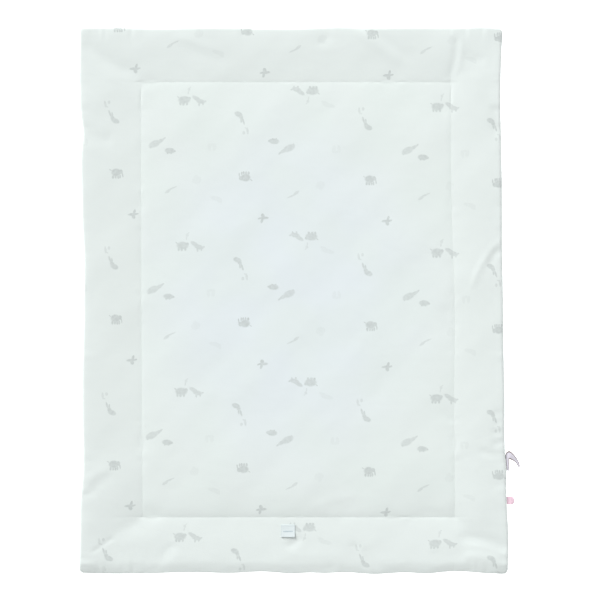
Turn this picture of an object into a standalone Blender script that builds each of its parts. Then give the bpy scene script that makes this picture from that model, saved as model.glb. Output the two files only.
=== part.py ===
"""A padded cradle blanket lying flat: one filled quilt with a sewn frame seam, and three tabs sewn to it.

Lengths are in millimetres until they are placed, and Blender's own unit is the metre. Z is up.
The quilt's head is at +Y, its foot at -Y, and the side with the two edge tabs is at +X.
"""

import math
from collections import namedtuple

import bmesh
import bpy
from mathutils import Vector
from mathutils.bvhtree import BVHTree

MM = 0.001

# Sewn size of the quilt, before its filling draws the sides in
QUILT_WIDTH = 750.0
QUILT_LENGTH = 969.6
CORNER_RADIUS = 9.0

# Places of the four runs of the frame seam, measured from the quilt's centre lines
FRAME = {"left": 269.0, "right": 283.0, "head": 388.5, "foot": 384.5}

# Heights of the filled cloth: the centre panel is a long low arch, and thread draws it in at a seam
RIM_HEIGHT = 5.0
LOFT = 14.0
ARCH = 2.2
SEAM_DIP = 1.2
SEAM_DIP_REACH = 2.5
SEAM_UNDERSIDE = 3.5
UNDER_RIM_REACH = 13.0
UNDER_SEAM_REACH = 12.0
UNDER_ROUNDNESS = 2.0

# Steps of the quilt's grid: close beside the rim and the frame seam, even between
RIM_STEPS = (0.7, 2.0, 4.5, 9.0, 18.0)
SEAM_STEPS = (2.5, 7.0, 14.0, 24.0)
BORDER_PITCH = 9.5
CENTRE_PITCH = 36.0

# Pieces that lie against each other keep this gap
SEAT_GAP = 0.3

EdgeRow = namedtuple("EdgeRow", "place bulge")
Crease = namedtuple("Crease", "x y to_x to_y bow width height")
TagRow = namedtuple("TagRow", "outer_x outer_y inner_x inner_y outer_z inner_z")
PanelFall = namedtuple("PanelFall", "near near_reach far far_reach")
BorderForm = namedtuple(
    "BorderForm", "crown end_crown crown_at roundness shoulder rim_reach rim_roundness lip"
)
Wave = namedtuple("Wave", "height across lengthways start")

# How far the front falls from the centre panel's arch to each run of the frame seam: near it, and far
PANEL_FALLS = {
    "left": PanelFall(0.45, 9.0, 0.5, 100.0),
    "right": PanelFall(0.55, 8.0, 0.4, 80.0),
    "head": PanelFall(0.2, 8.0, 1.7, 100.0),
    "foot": PanelFall(2.0, 18.0, 2.6, 105.0),
}

# Each border's crown at its middle and at its ends, how much of the way out it lies, how evenly the cloth
# rises to it, how far it falls again, how it rounds over to the rim, and how much of the rim is a flat lip
BORDER_FORMS = {
    "left": BorderForm(17.1, 12.0, 0.83, 1.25, 0.6, 4.5, 2.8, 0.0),
    "right": BorderForm(16.0, 12.0, 0.7, 2.2, 0.0, 6.5, 2.5, 0.0),
    "head": BorderForm(11.8, 11.6, 0.65, 1.3, 0.9, 4.5, 2.8, 0.0),
    "foot": BorderForm(8.4, 10.0, 0.5, 1.6, 0.0, 20.0, 1.9, 0.45),
}

# Wadding never lies quite level: waves of this height, with their lengths across and along
WAVES = (
    Wave(0.22, 310.0, 190.0, 0.4), Wave(0.20, 150.0, -410.0, 2.1), Wave(0.16, -170.0, 140.0, 4.4),
    Wave(0.10, 88.0, 260.0, 1.3), Wave(0.09, 420.0, -97.0, 5.2), Wave(0.06, -66.0, 74.0, 0.9),
)

# How far each side stands out from its straight line, along the side from its middle
LEFT_EDGE = (
    EdgeRow(-484, 5.2), EdgeRow(-415, 3.8), EdgeRow(-352, 2.4), EdgeRow(-310, -1.3), EdgeRow(-200, -1.0),
    EdgeRow(-110, -1.2), EdgeRow(-50, -3.0), EdgeRow(15, -3.2), EdgeRow(80, -4.3), EdgeRow(130, -1.2),
    EdgeRow(200, 0.6), EdgeRow(262, 1.2), EdgeRow(297, -2.2), EdgeRow(332, 2.0), EdgeRow(370, 3.9),
    EdgeRow(484, 3.8),
)
RIGHT_EDGE = (
    EdgeRow(-484, 7.6), EdgeRow(-452, 8.2), EdgeRow(-415, 8.6), EdgeRow(-380, 6.6), EdgeRow(-345, 4.8),
    EdgeRow(-308, 4.9), EdgeRow(-270, 2.4), EdgeRow(-165, 1.5), EdgeRow(-110, 0.2), EdgeRow(0, -1.2),
    EdgeRow(100, -2.8), EdgeRow(190, -3.0), EdgeRow(297, -4.8), EdgeRow(368, -5.8), EdgeRow(439, -4.0),
    EdgeRow(484, -2.0),
)
HEAD_EDGE = (
    EdgeRow(-374, 1.2), EdgeRow(-300, 1.0), EdgeRow(-255, -0.5), EdgeRow(-215, -0.6), EdgeRow(-145, 1.2),
    EdgeRow(-60, -0.4), EdgeRow(25, -0.3), EdgeRow(84, 2.2), EdgeRow(140, 0.2), EdgeRow(200, 1.3),
    EdgeRow(310, 1.0), EdgeRow(340, 2.3), EdgeRow(374, -0.2),
)
FOOT_EDGE = (
    EdgeRow(-374, -0.4), EdgeRow(-318, 0.7), EdgeRow(-258, 0.1), EdgeRow(-180, -2.1), EdgeRow(-115, -0.4),
    EdgeRow(-58, -3.0), EdgeRow(0, 0.2), EdgeRow(27, -1.2), EdgeRow(56, -0.3), EdgeRow(84, -1.8),
    EdgeRow(141, 1.3), EdgeRow(198, -1.4), EdgeRow(232, 0.2), EdgeRow(284, -3.7), EdgeRow(340, -0.1),
    EdgeRow(374, 1.3),
)

# How far the frame seam strays outward from its straight line
FRAME_LEFT_SEAM = (
    EdgeRow(-388, -1.6), EdgeRow(-200, -0.8), EdgeRow(0, 0.2), EdgeRow(200, 0.8), EdgeRow(388, 0.9),
)
FRAME_RIGHT_SEAM = (
    EdgeRow(-388, 4.4), EdgeRow(-280, 3.6), EdgeRow(-170, 2.7), EdgeRow(-60, 3.6), EdgeRow(0, 3.3),
    EdgeRow(90, 0.3), EdgeRow(180, -2.2), EdgeRow(388, -2.6),
)

# Folds pressed into the filled cloth, from one end to the other: the bow is how far the middle strays to
# the left of the way there, and a height below zero is a trough
CREASES = (
    # head border
    Crease(-368, 458, -284, 404, -5, 14, -1.2),
    Crease(-206, 468, -150, 448, 3, 8, 0.6),
    Crease(-190, 454, -118, 424, -4, 11, -0.4),
    Crease(112, 480, 188, 424, 3, 10, 0.9),
    Crease(126, 487, 205, 432, 3, 9, -0.6),
    Crease(66, 470, 50, 452, 0, 9, -0.8),
    # corner beyond the head seam's right end
    Crease(291, 396, 302, 466, -4, 6, 0.4),
    Crease(280, 396, 293, 466, -4, 7, -0.8),
    Crease(294, 350, 291, 388, 1, 5, 0.2),
    Crease(304, 433, 344, 426, 0, 9, -0.6),
    # left border
    Crease(-374, 297, -322, 285, -3, 12, -0.9),
    Crease(-366, -318, -332, -296, 0, 8, 0.5),
    Crease(-360, -338, -322, -312, 2, 9, -0.6),
    Crease(-372, -347, -346, -338, 2, 6, -0.6),
    # corner beyond the foot seam's left end
    Crease(-280, -392, -330, -428, -3, 11, -0.3),
    Crease(-318, -420, -352, -446, 0, 4, -0.7),
    Crease(-272, -412, -306, -440, -2, 15, 0.5),
    Crease(-214, -434, -234, -466, -4, 8, -0.7),
    Crease(-222, -466, -198, -452, 2, 9, 0.4),
    # foot border
    Crease(8, -420, -12, -438, 2, 7, -1.1),
    Crease(-30, -450, 96, -452, -3, 14, 0.6),
    Crease(104, -432, 122, -470, -3, 7, -0.9),
    Crease(128, -440, 148, -474, -3, 6, -0.8),
    Crease(255, -470, 246, -446, 0, 9, -0.5),
    # dips where the filling stops short of the foot rim
    Crease(-350, -470, -312, -469, 0, 7, -0.5),
    Crease(-306, -470, -264, -471, 0, 6, -0.4),
    Crease(-248, -474, -238, -474, 0, 7, -0.6),
    Crease(-190, -471, -118, -470, 0, 7, -0.4),
    Crease(52, -474, 72, -474, 0, 6, -0.5),
    Crease(112, -472, 168, -470, 0, 7, -0.4),
    Crease(192, -471, 240, -470, 0, 7, -0.4),
    Crease(318, -470, 352, -472, 0, 7, -0.5),
    # corner beyond the foot seam's right end
    Crease(294, -421, 376, -438, 4, 11, -1.2),
    Crease(306, -436, 366, -450, 3, 5, 0.2),
    Crease(302, -456, 358, -459, 2, 8, 0.8),
    Crease(366, -449, 380, -438, 0, 4, 0.5),
    # right border
    Crease(370, 106, 316, 28, -5, 6, 0.9),
    Crease(370, 92, 350, 62, -4, 8, -1.0),
    Crease(362, 345, 366, 290, 0, 9, -0.9),
    Crease(376, -196, 352, -199, 1, 3.5, -0.9),
    Crease(376, -212, 356, -216, 1, 3, -0.8),
    Crease(376, -229, 350, -235, 1, 3.5, -1.1),
    Crease(376, -246, 352, -254, 1, 4, -1.2),
    Crease(376, -272, 328, -266, 3, 4, -1.1),
    Crease(378, -318, 344, -334, 0, 10, -0.6),
    # puckers where the centre meets the frame seam
    Crease(24, -372, 110, -346, 6, 7, 0.5),
    Crease(44, -368, 76, -384, 0, 8, 0.5),
    Crease(226, -372, 264, -382, 0, 8, -0.6),
    Crease(-262, -366, -236, -384, 0, 7, -0.6),
    Crease(276, 352, 264, 326, 0, 6, -0.5),
    Crease(278, -214, 264, -196, 0, 7, -0.6),
    Crease(276, -60, 266, -10, 0, 9, -0.6),
)

# Woven label on the foot border: its middle, and the lift of its loose lower edge
LABEL_WIDTH = 25.0
LABEL_LENGTH = 22.0
LABEL_X = -8.7
LABEL_Y = -408.5
LABEL_THICKNESS = 1.0
LABEL_GAP = 0.6
LABEL_LIFT = 1.6
LABEL_CELLS = 4

# Satin tag in the right edge: rows from its sewn foot, up the edge, and out to its loose tip
TAG_THICKNESS = 1.2
TAG_ROOT_GAP = 0.5
SEWN_IN = None
TAG_ROWS = (
    TagRow(SEWN_IN, -302.2, 384.4, -302.4, 5.0, 6.2),
    TagRow(SEWN_IN, -292.0, 384.3, -292.0, 5.0, 7.4),
    TagRow(SEWN_IN, -282.5, 384.1, -284.0, 5.0, 7.8),
    TagRow(SEWN_IN, -274.0, 384.4, -282.0, 5.2, 7.8),
    TagRow(380.6, -268.2, 385.0, -281.6, 6.8, 7.6),
    TagRow(385.6, -267.0, 386.0, -281.8, 8.2, 7.0),
    TagRow(391.2, -271.4, 388.6, -283.0, 8.0, 6.0),
    TagRow(396.6, -277.8, 393.3, -285.4, 6.8, 4.8),
    TagRow(401.0, -284.8, 397.2, -288.8, 5.0, 3.4),
    TagRow(403.7, -291.4, 399.9, -293.0, 3.0, 2.2),
    TagRow(404.2, -296.2, 401.8, -296.6, 1.4, 1.3),
)
TAG_CELLS_ACROSS = 3

# Folded pink loop below the tag
LOOP_WIDTH = 13.2
LOOP_REACH = 13.4
LOOP_Y = -355.0
LOOP_THICKNESS = 0.9
LOOP_ROOT_GAP = 0.25
LOOP_FOLD_RADIUS = 1.5
LOOP_ROUNDING = 0.2
LOOP_STEPS = 10

SURFACES = {
    "printed_cotton": ((0.78, 0.845, 0.825), 0.9),
    "label_weave": ((0.86, 0.91, 0.93), 0.7),
    "tag_satin": ((0.67, 0.65, 0.72), 0.45),
    "loop_tape": ((0.86, 0.53, 0.64), 0.6),
}


def clear_scene():
    for old in list(bpy.data.objects):
        bpy.data.objects.remove(old, do_unlink=True)


def surface(name):
    """The material of one kind of cloth."""
    colour, roughness = SURFACES[name]
    material = bpy.data.materials.new(name)
    material.use_nodes = True
    shader = material.node_tree.nodes["Principled BSDF"]
    shader.inputs["Base Color"].default_value = (*colour, 1.0)
    shader.inputs["Roughness"].default_value = roughness
    shader.inputs["Metallic"].default_value = 0.0
    return material


def new_object(name, mesh, kind, collection):
    mesh.materials.append(surface(kind))
    mesh.shade_smooth()
    made = bpy.data.objects.new(name, mesh)
    collection.objects.link(made)
    return made


def along(rows, place):
    """The bulge at a place on a side: a smooth curve through the table's rows."""
    if place <= rows[0].place:
        return rows[0].bulge
    if place >= rows[-1].place:
        return rows[-1].bulge
    n = next(i for i in range(1, len(rows)) if rows[i].place >= place)
    before, after = rows[n - 1], rows[n]
    run = after.place - before.place

    def slope(i):
        low, high = rows[max(i - 1, 0)], rows[min(i + 1, len(rows) - 1)]
        return (high.bulge - low.bulge) / (high.place - low.place) * run

    t = (place - before.place) / run
    return (
        before.bulge * (2 * t**3 - 3 * t**2 + 1)
        + after.bulge * (3 * t**2 - 2 * t**3)
        + slope(n - 1) * (t**3 - 2 * t**2 + t)
        + slope(n) * (t**3 - t**2)
    )


def swell(distance, reach, roundness):
    """How far filled cloth has risen: 0 on its seam, 1 at reach and beyond."""
    t = min(max(distance / reach, 0.0), 1.0)
    return (1.0 - (1.0 - t) ** roundness) ** (1.0 / roundness)


def from_rim(x, y):
    return QUILT_WIDTH / 2 - abs(x), QUILT_LENGTH / 2 - abs(y)


def beyond_frame(x, y):
    """How far a point lies beyond the frame seam, across and along: below zero inside it."""
    across = -x - FRAME["left"] if x < 0 else x - FRAME["right"]
    lengthways = -y - FRAME["foot"] if y < 0 else y - FRAME["head"]
    return across, lengthways


def from_seam(across, lengthways):
    if across < 0 and lengthways < 0:
        return min(-across, -lengthways)
    return math.hypot(max(across, 0.0), max(lengthways, 0.0))


def crease_height(crease, x, y):
    """The fold's height above the plain crown at one point: a soft ridge that fades at both ends."""
    run_x, run_y = crease.to_x - crease.x, crease.to_y - crease.y
    length = math.hypot(run_x, run_y)
    t = ((x - crease.x) * run_x + (y - crease.y) * run_y) / length**2
    if not -0.3 < t < 1.3:
        return 0.0
    aside = ((y - crease.y) * run_x - (x - crease.x) * run_y) / length
    aside -= crease.bow * 4 * t * (1 - t)
    fade = min(max((0.65 - abs(t - 0.5)) / 0.3, 0.0), 1.0)
    fade = fade * fade * (3 - 2 * fade)
    return crease.height * fade * math.exp(-((aside / crease.width) ** 2))


def folds(x, y):
    """The waves of the wadding and the folds of the table, as a height above the plain form."""
    height = sum(crease_height(crease, x, y) for crease in CREASES)
    for wave in WAVES:
        height += wave.height * math.sin(2 * math.pi * (x / wave.across + y / wave.lengthways) + wave.start)
    return height


def panel_height(x, y):
    """The centre panel's own form: a long arch that falls to each run of the frame seam."""
    middle, half = (FRAME["head"] - FRAME["foot"]) / 2, (FRAME["head"] + FRAME["foot"]) / 2
    height = LOFT - ARCH * ((y - middle) / half) ** 2
    inward = {
        "left": x + FRAME["left"],
        "right": FRAME["right"] - x,
        "head": FRAME["head"] - y,
        "foot": y + FRAME["foot"],
    }
    for side, fall in PANEL_FALLS.items():
        height -= fall.near * math.exp(-inward[side] / fall.near_reach)
        height -= fall.far * max(1 - inward[side] / fall.far_reach, 0.0) ** 2
    return height


def rim_swell(form, off_rim):
    """How far a border has risen from the rim: at once where it rolls over, later at a flat lip."""
    t = min(max(off_rim / form.rim_reach, 0.0), 1.0)
    flat_lip = t * t * (3 - 2 * t)
    return swell(off_rim, form.rim_reach, form.rim_roundness) * (1 - form.lip) + flat_lip * form.lip


def border_form(side, half_size, out, off_rim, share):
    """A border's crown, how far the cloth has risen to it from the frame seam, and how far from the rim."""
    form = BORDER_FORMS[side]
    t = out / (half_size - FRAME[side])
    beyond_crown = min(max((t - form.crown_at) / (1 - form.crown_at), 0.0), 1.0)
    crown = form.crown + (form.end_crown - form.crown) * share**2 - form.shoulder * beyond_crown**3
    return crown, 1 - (1 - min(t / form.crown_at, 1.0)) ** form.roundness, rim_swell(form, off_rim)


def top_height(x, y):
    """The front: the centre panel's arch, and borders that rise from the seam to crowns inside the rim."""
    across, lengthways = beyond_frame(x, y)
    out_x, out_y = max(across, 0.0), max(lengthways, 0.0)
    half_x, half_y = QUILT_WIDTH / 2, QUILT_LENGTH / 2
    off_x, off_y = from_rim(x, y)
    seam_x = min(max(x, -FRAME["left"]), FRAME["right"])
    seam_y = min(max(y, -FRAME["foot"]), FRAME["head"])
    height = panel_height(seam_x, seam_y)
    side_x, side_y = "left" if x < 0 else "right", "foot" if y < 0 else "head"
    crown_x, risen_x, rim_x = border_form(side_x, half_x, out_x, off_x, y / half_y)
    crown_y, risen_y, rim_y = border_form(side_y, half_y, out_y, off_y, x / half_x)
    mix = out_x**2 / max(out_x**2 + out_y**2, 1e-9)
    height += mix * risen_x * (crown_x - height) + (1 - mix) * risen_y * (crown_y - height)
    height += folds(x, y) - SEAM_DIP * math.exp(-from_seam(across, lengthways) / SEAM_DIP_REACH)
    return RIM_HEIGHT + (height - RIM_HEIGHT) * rim_x * rim_y


def underside_height(x, y):
    """Flat on the floor, but lifted along the frame seam and up to the rim."""
    rim_x, rim_y = from_rim(x, y)
    rim = swell(rim_x, UNDER_RIM_REACH, UNDER_ROUNDNESS) * swell(rim_y, UNDER_RIM_REACH, UNDER_ROUNDNESS)
    seam = swell(from_seam(*beyond_frame(x, y)), UNDER_SEAM_REACH, UNDER_ROUNDNESS)
    return RIM_HEIGHT * (1 - rim) + SEAM_UNDERSIDE * (1 - seam) * rim


def rounded_corner(x, y):
    """Pulls a square corner of the flat quilt in to its round one."""
    core_x, core_y = QUILT_WIDTH / 2 - CORNER_RADIUS, QUILT_LENGTH / 2 - CORNER_RADIUS
    a, b = (abs(x) - core_x) / CORNER_RADIUS, (abs(y) - core_y) / CORNER_RADIUS
    if a <= 0 or b <= 0:
        return x, y
    round_x = core_x + CORNER_RADIUS * a * math.sqrt(1 - b * b / 2)
    round_y = core_y + CORNER_RADIUS * b * math.sqrt(1 - a * a / 2)
    return math.copysign(round_x, x), math.copysign(round_y, y)


def across_panels(place, stops, shifts):
    """The shift at a place between the outline, the two frame seams and the far outline."""
    for n in range(1, len(stops)):
        if place <= stops[n] or n == len(stops) - 1:
            t = (place - stops[n - 1]) / (stops[n] - stops[n - 1])
            return shifts[n - 1] + (shifts[n] - shifts[n - 1]) * t


def drawn_in(x, y):
    """Where a point of the straight-sided quilt lies once its sides have been drawn in unevenly."""
    x, y = rounded_corner(x, y)
    stops_x = (-QUILT_WIDTH / 2, -FRAME["left"], FRAME["right"], QUILT_WIDTH / 2)
    shifts_x = (
        -along(LEFT_EDGE, y),
        -along(FRAME_LEFT_SEAM, y),
        along(FRAME_RIGHT_SEAM, y),
        along(RIGHT_EDGE, y),
    )
    stops_y = (-QUILT_LENGTH / 2, -FRAME["foot"], FRAME["head"], QUILT_LENGTH / 2)
    shifts_y = (-along(FOOT_EDGE, x), 0.0, 0.0, along(HEAD_EDGE, x))
    return x + across_panels(x, stops_x, shifts_x), y + across_panels(y, stops_y, shifts_y)


def panel_steps(start, end, pitch, start_steps, end_steps):
    """Places from one seam to the next: close beside both, and about pitch apart between."""
    first, last = start + start_steps[-1], end - end_steps[-1]
    count = max(1, round((last - first) / pitch))
    near_start = [start + step for step in start_steps]
    between = [first + (last - first) * n / count for n in range(1, count)]
    near_end = [end - step for step in reversed(end_steps)]
    return near_start + between + near_end + [end]


def grid_places(half_size, low_seam, high_seam):
    places = [-half_size]
    places += panel_steps(-half_size, -low_seam, BORDER_PITCH, RIM_STEPS, SEAM_STEPS)
    places += panel_steps(-low_seam, high_seam, CENTRE_PITCH, SEAM_STEPS, SEAM_STEPS)
    places += panel_steps(high_seam, half_size, BORDER_PITCH, SEAM_STEPS, RIM_STEPS)
    return places


def add_face(bm, places_x, places_y, height, faces_down):
    """One side of the quilt: a grid whose points are moved to the sewn shape."""
    cells_x, cells_y = len(places_x) - 1, len(places_y) - 1
    made = bmesh.ops.create_grid(bm, x_segments=cells_x, y_segments=cells_y, size=0.5)["verts"]
    for vert in made:
        x = places_x[round((vert.co.x + 0.5) * cells_x)]
        y = places_y[round((vert.co.y + 0.5) * cells_y)]
        z = height(x, y)
        x, y = drawn_in(x, y)
        vert.co = (x * MM, y * MM, z * MM)
    if faces_down:
        faces = list({face for vert in made for face in vert.link_faces})
        bmesh.ops.reverse_faces(bm, faces=faces)


def make_quilt(collection):
    places_x = grid_places(QUILT_WIDTH / 2, FRAME["left"], FRAME["right"])
    places_y = grid_places(QUILT_LENGTH / 2, FRAME["foot"], FRAME["head"])
    bm = bmesh.new()
    add_face(bm, places_x, places_y, top_height, faces_down=False)
    add_face(bm, places_x, places_y, underside_height, faces_down=True)
    rim = [vert for vert in bm.verts if vert.is_boundary]
    bmesh.ops.remove_doubles(bm, verts=rim, dist=0.00001)
    mesh = bpy.data.meshes.new("quilt_pad")
    bm.to_mesh(mesh)
    bm.free()
    return new_object("quilt_pad", mesh, "printed_cotton", collection)


def make_strip(name, cells_long, cells_across, place, thickness, kind, collection):
    """A strip of cloth: a grid whose points place() sets, with Solidify giving the thickness."""
    bm = bmesh.new()
    made = bmesh.ops.create_grid(bm, x_segments=cells_across, y_segments=cells_long, size=0.5)["verts"]
    for vert in made:
        x, y, z = place(vert.co.y + 0.5, vert.co.x + 0.5)
        vert.co = (x * MM, y * MM, z * MM)
    bmesh.ops.recalc_face_normals(bm, faces=bm.faces)
    mesh = bpy.data.meshes.new(name)
    bm.to_mesh(mesh)
    bm.free()
    strip = new_object(name, mesh, kind, collection)
    shell = strip.modifiers.new("thickness", "SOLIDIFY")
    shell.thickness = thickness * MM
    shell.offset = 0.0
    shell.use_even_offset = True
    return strip


def make_label(quilt, collection):
    """The woven label lies on the quilt and lifts at its loose edge."""
    graph = bpy.context.evaluated_depsgraph_get()
    cloth = BVHTree.FromObject(quilt, graph)

    def place(lengthways, across):
        x = LABEL_X + LABEL_WIDTH * (across - 0.5)
        y = LABEL_Y + LABEL_LENGTH * (lengthways - 0.5)
        above = Vector((x * MM, y * MM, 3 * LOFT * MM))
        hit = cloth.ray_cast(above, Vector((0, 0, -1)))[0]
        lift = LABEL_LIFT * (1 - lengthways) ** 2
        return x, y, hit.z / MM + LABEL_GAP + LABEL_THICKNESS / 2 + lift

    return make_strip(
        "front_label", LABEL_CELLS, LABEL_CELLS, place, LABEL_THICKNESS, "label_weave", collection
    )


def rim_x(y):
    """The right outline as the quilt's grid draws it: straight between the grid's places."""
    places = grid_places(QUILT_LENGTH / 2, FRAME["foot"], FRAME["head"])
    outline = [drawn_in(QUILT_WIDTH / 2, place) for place in places]
    n = next(i for i in range(1, len(outline)) if outline[i][1] >= y)
    (x0, y0), (x1, y1) = outline[n - 1], outline[n]
    return x0 + (x1 - x0) * (y - y0) / (y1 - y0)


def make_tag(collection):
    """The satin tag: the rows marked as sewn in start at the rim, and the others stand free of it."""
    last = len(TAG_ROWS) - 1

    def place(lengthways, across):
        row = TAG_ROWS[round(lengthways * last)]
        outer_x = rim_x(row.outer_y) + TAG_ROOT_GAP if row.outer_x is SEWN_IN else row.outer_x
        outer = Vector((outer_x, row.outer_y, row.outer_z))
        inner = Vector((row.inner_x, row.inner_y, row.inner_z))
        return outer.lerp(inner, across)

    return make_strip("side_tag", last, TAG_CELLS_ACROSS, place, TAG_THICKNESS, "tag_satin", collection)


def make_loop(collection):
    """The folded loop: out along its upper leaf, round the fold, and back along its lower leaf."""

    def place(lengthways, across):
        leaf = 1 - abs(2 * lengthways - 1)
        y = LOOP_Y + LOOP_WIDTH * (across - 0.5) * (1 - LOOP_ROUNDING / 2 * leaf**4)
        rounded_end = 1 - LOOP_ROUNDING * (2 * across - 1) ** 4
        reach = math.sin(leaf * math.pi / 2) * (LOOP_REACH - SEAT_GAP - LOOP_THICKNESS / 2) * rounded_end
        root = (LOOP_THICKNESS + LOOP_ROOT_GAP) / 2
        fold = math.sqrt(max(1 - leaf**3, 0.0))
        belly = root + (LOOP_FOLD_RADIUS - root) * math.sin(math.pi * min(leaf * 1.25, 1.0))
        side = 1 if lengthways < 0.5 else -1
        return rim_x(y) + SEAT_GAP + reach, y, RIM_HEIGHT + side * belly * fold

    return make_strip("pink_loop", 2 * LOOP_STEPS, 4, place, LOOP_THICKNESS, "loop_tape", collection)


def stand_at_origin(objects):
    """Moves the whole so that the origin is on the floor at the middle of all its pieces."""
    bpy.context.view_layer.update()
    graph = bpy.context.evaluated_depsgraph_get()
    corners = []
    for made in objects:
        corners += [made.matrix_world @ Vector(corner) for corner in made.evaluated_get(graph).bound_box]
    low = Vector([min(corner[n] for corner in corners) for n in range(3)])
    high = Vector([max(corner[n] for corner in corners) for n in range(3)])
    middle = (low + high) / 2
    for made in objects:
        made.location -= Vector((middle.x, middle.y, low.z))


def main():
    clear_scene()
    collection = bpy.data.collections.new("cradle_blanket")
    bpy.context.scene.collection.children.link(collection)
    quilt = make_quilt(collection)
    bpy.context.view_layer.update()
    pieces = [quilt, make_label(quilt, collection), make_tag(collection), make_loop(collection)]
    stand_at_origin(pieces)


main()
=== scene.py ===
"""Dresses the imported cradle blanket: printed cotton over wadding, with its seams, stitches and small tabs.

Sizes are in millimetres from the quilt's own centre lines until a piece is placed. The head is at +Y, the
foot at -Y, and the side with the satin tag and the ribbon loop at +X.
"""

import math
from collections import namedtuple

import bmesh
import bpy
import numpy as np
from bpy.props import FloatProperty, FloatVectorProperty, IntProperty, PointerProperty
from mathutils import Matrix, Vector
from mathutils.bvhtree import BVHTree


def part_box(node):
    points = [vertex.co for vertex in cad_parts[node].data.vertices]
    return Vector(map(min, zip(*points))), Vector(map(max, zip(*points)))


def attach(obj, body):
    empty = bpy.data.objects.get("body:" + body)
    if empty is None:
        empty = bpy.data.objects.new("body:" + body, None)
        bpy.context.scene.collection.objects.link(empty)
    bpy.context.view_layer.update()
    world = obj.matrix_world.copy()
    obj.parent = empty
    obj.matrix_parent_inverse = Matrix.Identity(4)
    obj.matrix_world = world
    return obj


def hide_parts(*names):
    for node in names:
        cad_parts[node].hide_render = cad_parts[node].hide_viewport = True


bl_info = {
    "name": "Cradle Blanket",
    "version": (1, 0, 0),
    "blender": (4, 5, 0),
    "location": "3D View > Sidebar > Blanket",
    "description": "Makes a padded cradle blanket with its seams, label, satin tag and ribbon loop",
    "category": "Object",
}

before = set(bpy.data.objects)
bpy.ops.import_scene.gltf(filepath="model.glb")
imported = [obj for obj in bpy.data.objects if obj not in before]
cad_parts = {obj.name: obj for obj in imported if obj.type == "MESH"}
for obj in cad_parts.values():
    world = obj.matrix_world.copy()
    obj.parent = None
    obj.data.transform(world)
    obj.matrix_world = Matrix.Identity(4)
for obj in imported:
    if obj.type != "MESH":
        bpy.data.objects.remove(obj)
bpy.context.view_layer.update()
label_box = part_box("front_label")
loop_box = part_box("pink_loop")

MM = 0.001
FINE_MM = 0.00001

EdgeRow = namedtuple("EdgeRow", "place bulge")
Crease = namedtuple("Crease", "x y to_x to_y bow width height")
TagRow = namedtuple("TagRow", "outer_x outer_y inner_x inner_y outer_z inner_z")
Dab = namedtuple("Dab", "x y long wide turn")
Motif = namedtuple("Motif", "name x y next_x next_y ink")
PanelFall = namedtuple("PanelFall", "near near_reach far far_reach")
BorderForm = namedtuple(
    "BorderForm", "crown end_crown crown_at roundness shoulder rim_reach rim_roundness lip"
)
Wave = namedtuple("Wave", "height across lengthways start")
Ripple = namedtuple("Ripple", "height pitch start")

# How far each side stands out from its straight line, along the side from its middle
LEFT_EDGE = (
    EdgeRow(-484, 5.2), EdgeRow(-415, 3.8), EdgeRow(-352, 2.4), EdgeRow(-310, -1.3), EdgeRow(-200, -1.0),
    EdgeRow(-110, -1.2), EdgeRow(-50, -3.0), EdgeRow(15, -3.2), EdgeRow(80, -4.3), EdgeRow(130, -1.2),
    EdgeRow(200, 0.6), EdgeRow(262, 1.2), EdgeRow(297, -2.2), EdgeRow(332, 2.0), EdgeRow(370, 3.9),
    EdgeRow(484, 3.8),
)
RIGHT_EDGE = (
    EdgeRow(-484, 7.6), EdgeRow(-452, 8.2), EdgeRow(-415, 8.6), EdgeRow(-380, 6.6), EdgeRow(-345, 4.8),
    EdgeRow(-308, 4.9), EdgeRow(-270, 2.4), EdgeRow(-165, 1.5), EdgeRow(-110, 0.2), EdgeRow(0, -1.2),
    EdgeRow(100, -2.8), EdgeRow(190, -3.0), EdgeRow(297, -4.8), EdgeRow(368, -5.8), EdgeRow(439, -4.0),
    EdgeRow(484, -2.0),
)
HEAD_EDGE = (
    EdgeRow(-374, 1.2), EdgeRow(-300, 1.0), EdgeRow(-255, -0.5), EdgeRow(-215, -0.6), EdgeRow(-145, 1.2),
    EdgeRow(-60, -0.4), EdgeRow(25, -0.3), EdgeRow(84, 2.2), EdgeRow(140, 0.2), EdgeRow(200, 1.3),
    EdgeRow(310, 1.0), EdgeRow(340, 2.3), EdgeRow(374, -0.2),
)
FOOT_EDGE = (
    EdgeRow(-374, -0.4), EdgeRow(-318, 0.7), EdgeRow(-258, 0.1), EdgeRow(-180, -2.1), EdgeRow(-115, -0.4),
    EdgeRow(-58, -3.0), EdgeRow(0, 0.2), EdgeRow(27, -1.2), EdgeRow(56, -0.3), EdgeRow(84, -1.8),
    EdgeRow(141, 1.3), EdgeRow(198, -1.4), EdgeRow(232, 0.2), EdgeRow(284, -3.7), EdgeRow(340, -0.1),
    EdgeRow(374, 1.3),
)

# How far the frame seam strays outward from its straight line
FRAME_LEFT_SEAM = (
    EdgeRow(-388, -1.6), EdgeRow(-200, -0.8), EdgeRow(0, 0.2), EdgeRow(200, 0.8), EdgeRow(388, 0.9),
)
FRAME_RIGHT_SEAM = (
    EdgeRow(-388, 4.4), EdgeRow(-280, 3.6), EdgeRow(-170, 2.7), EdgeRow(-60, 3.6), EdgeRow(0, 3.3),
    EdgeRow(90, 0.3), EdgeRow(180, -2.2), EdgeRow(388, -2.6),
)

# How far the front falls from the centre panel's crown to each run of the frame seam: near it, and far
PANEL_FALLS = {
    "left": PanelFall(0.45, 9.0, 0.5, 100.0),
    "right": PanelFall(0.55, 8.0, 0.4, 80.0),
    "head": PanelFall(0.2, 8.0, 1.7, 100.0),
    "foot": PanelFall(2.0, 18.0, 2.6, 105.0),
}

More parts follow.
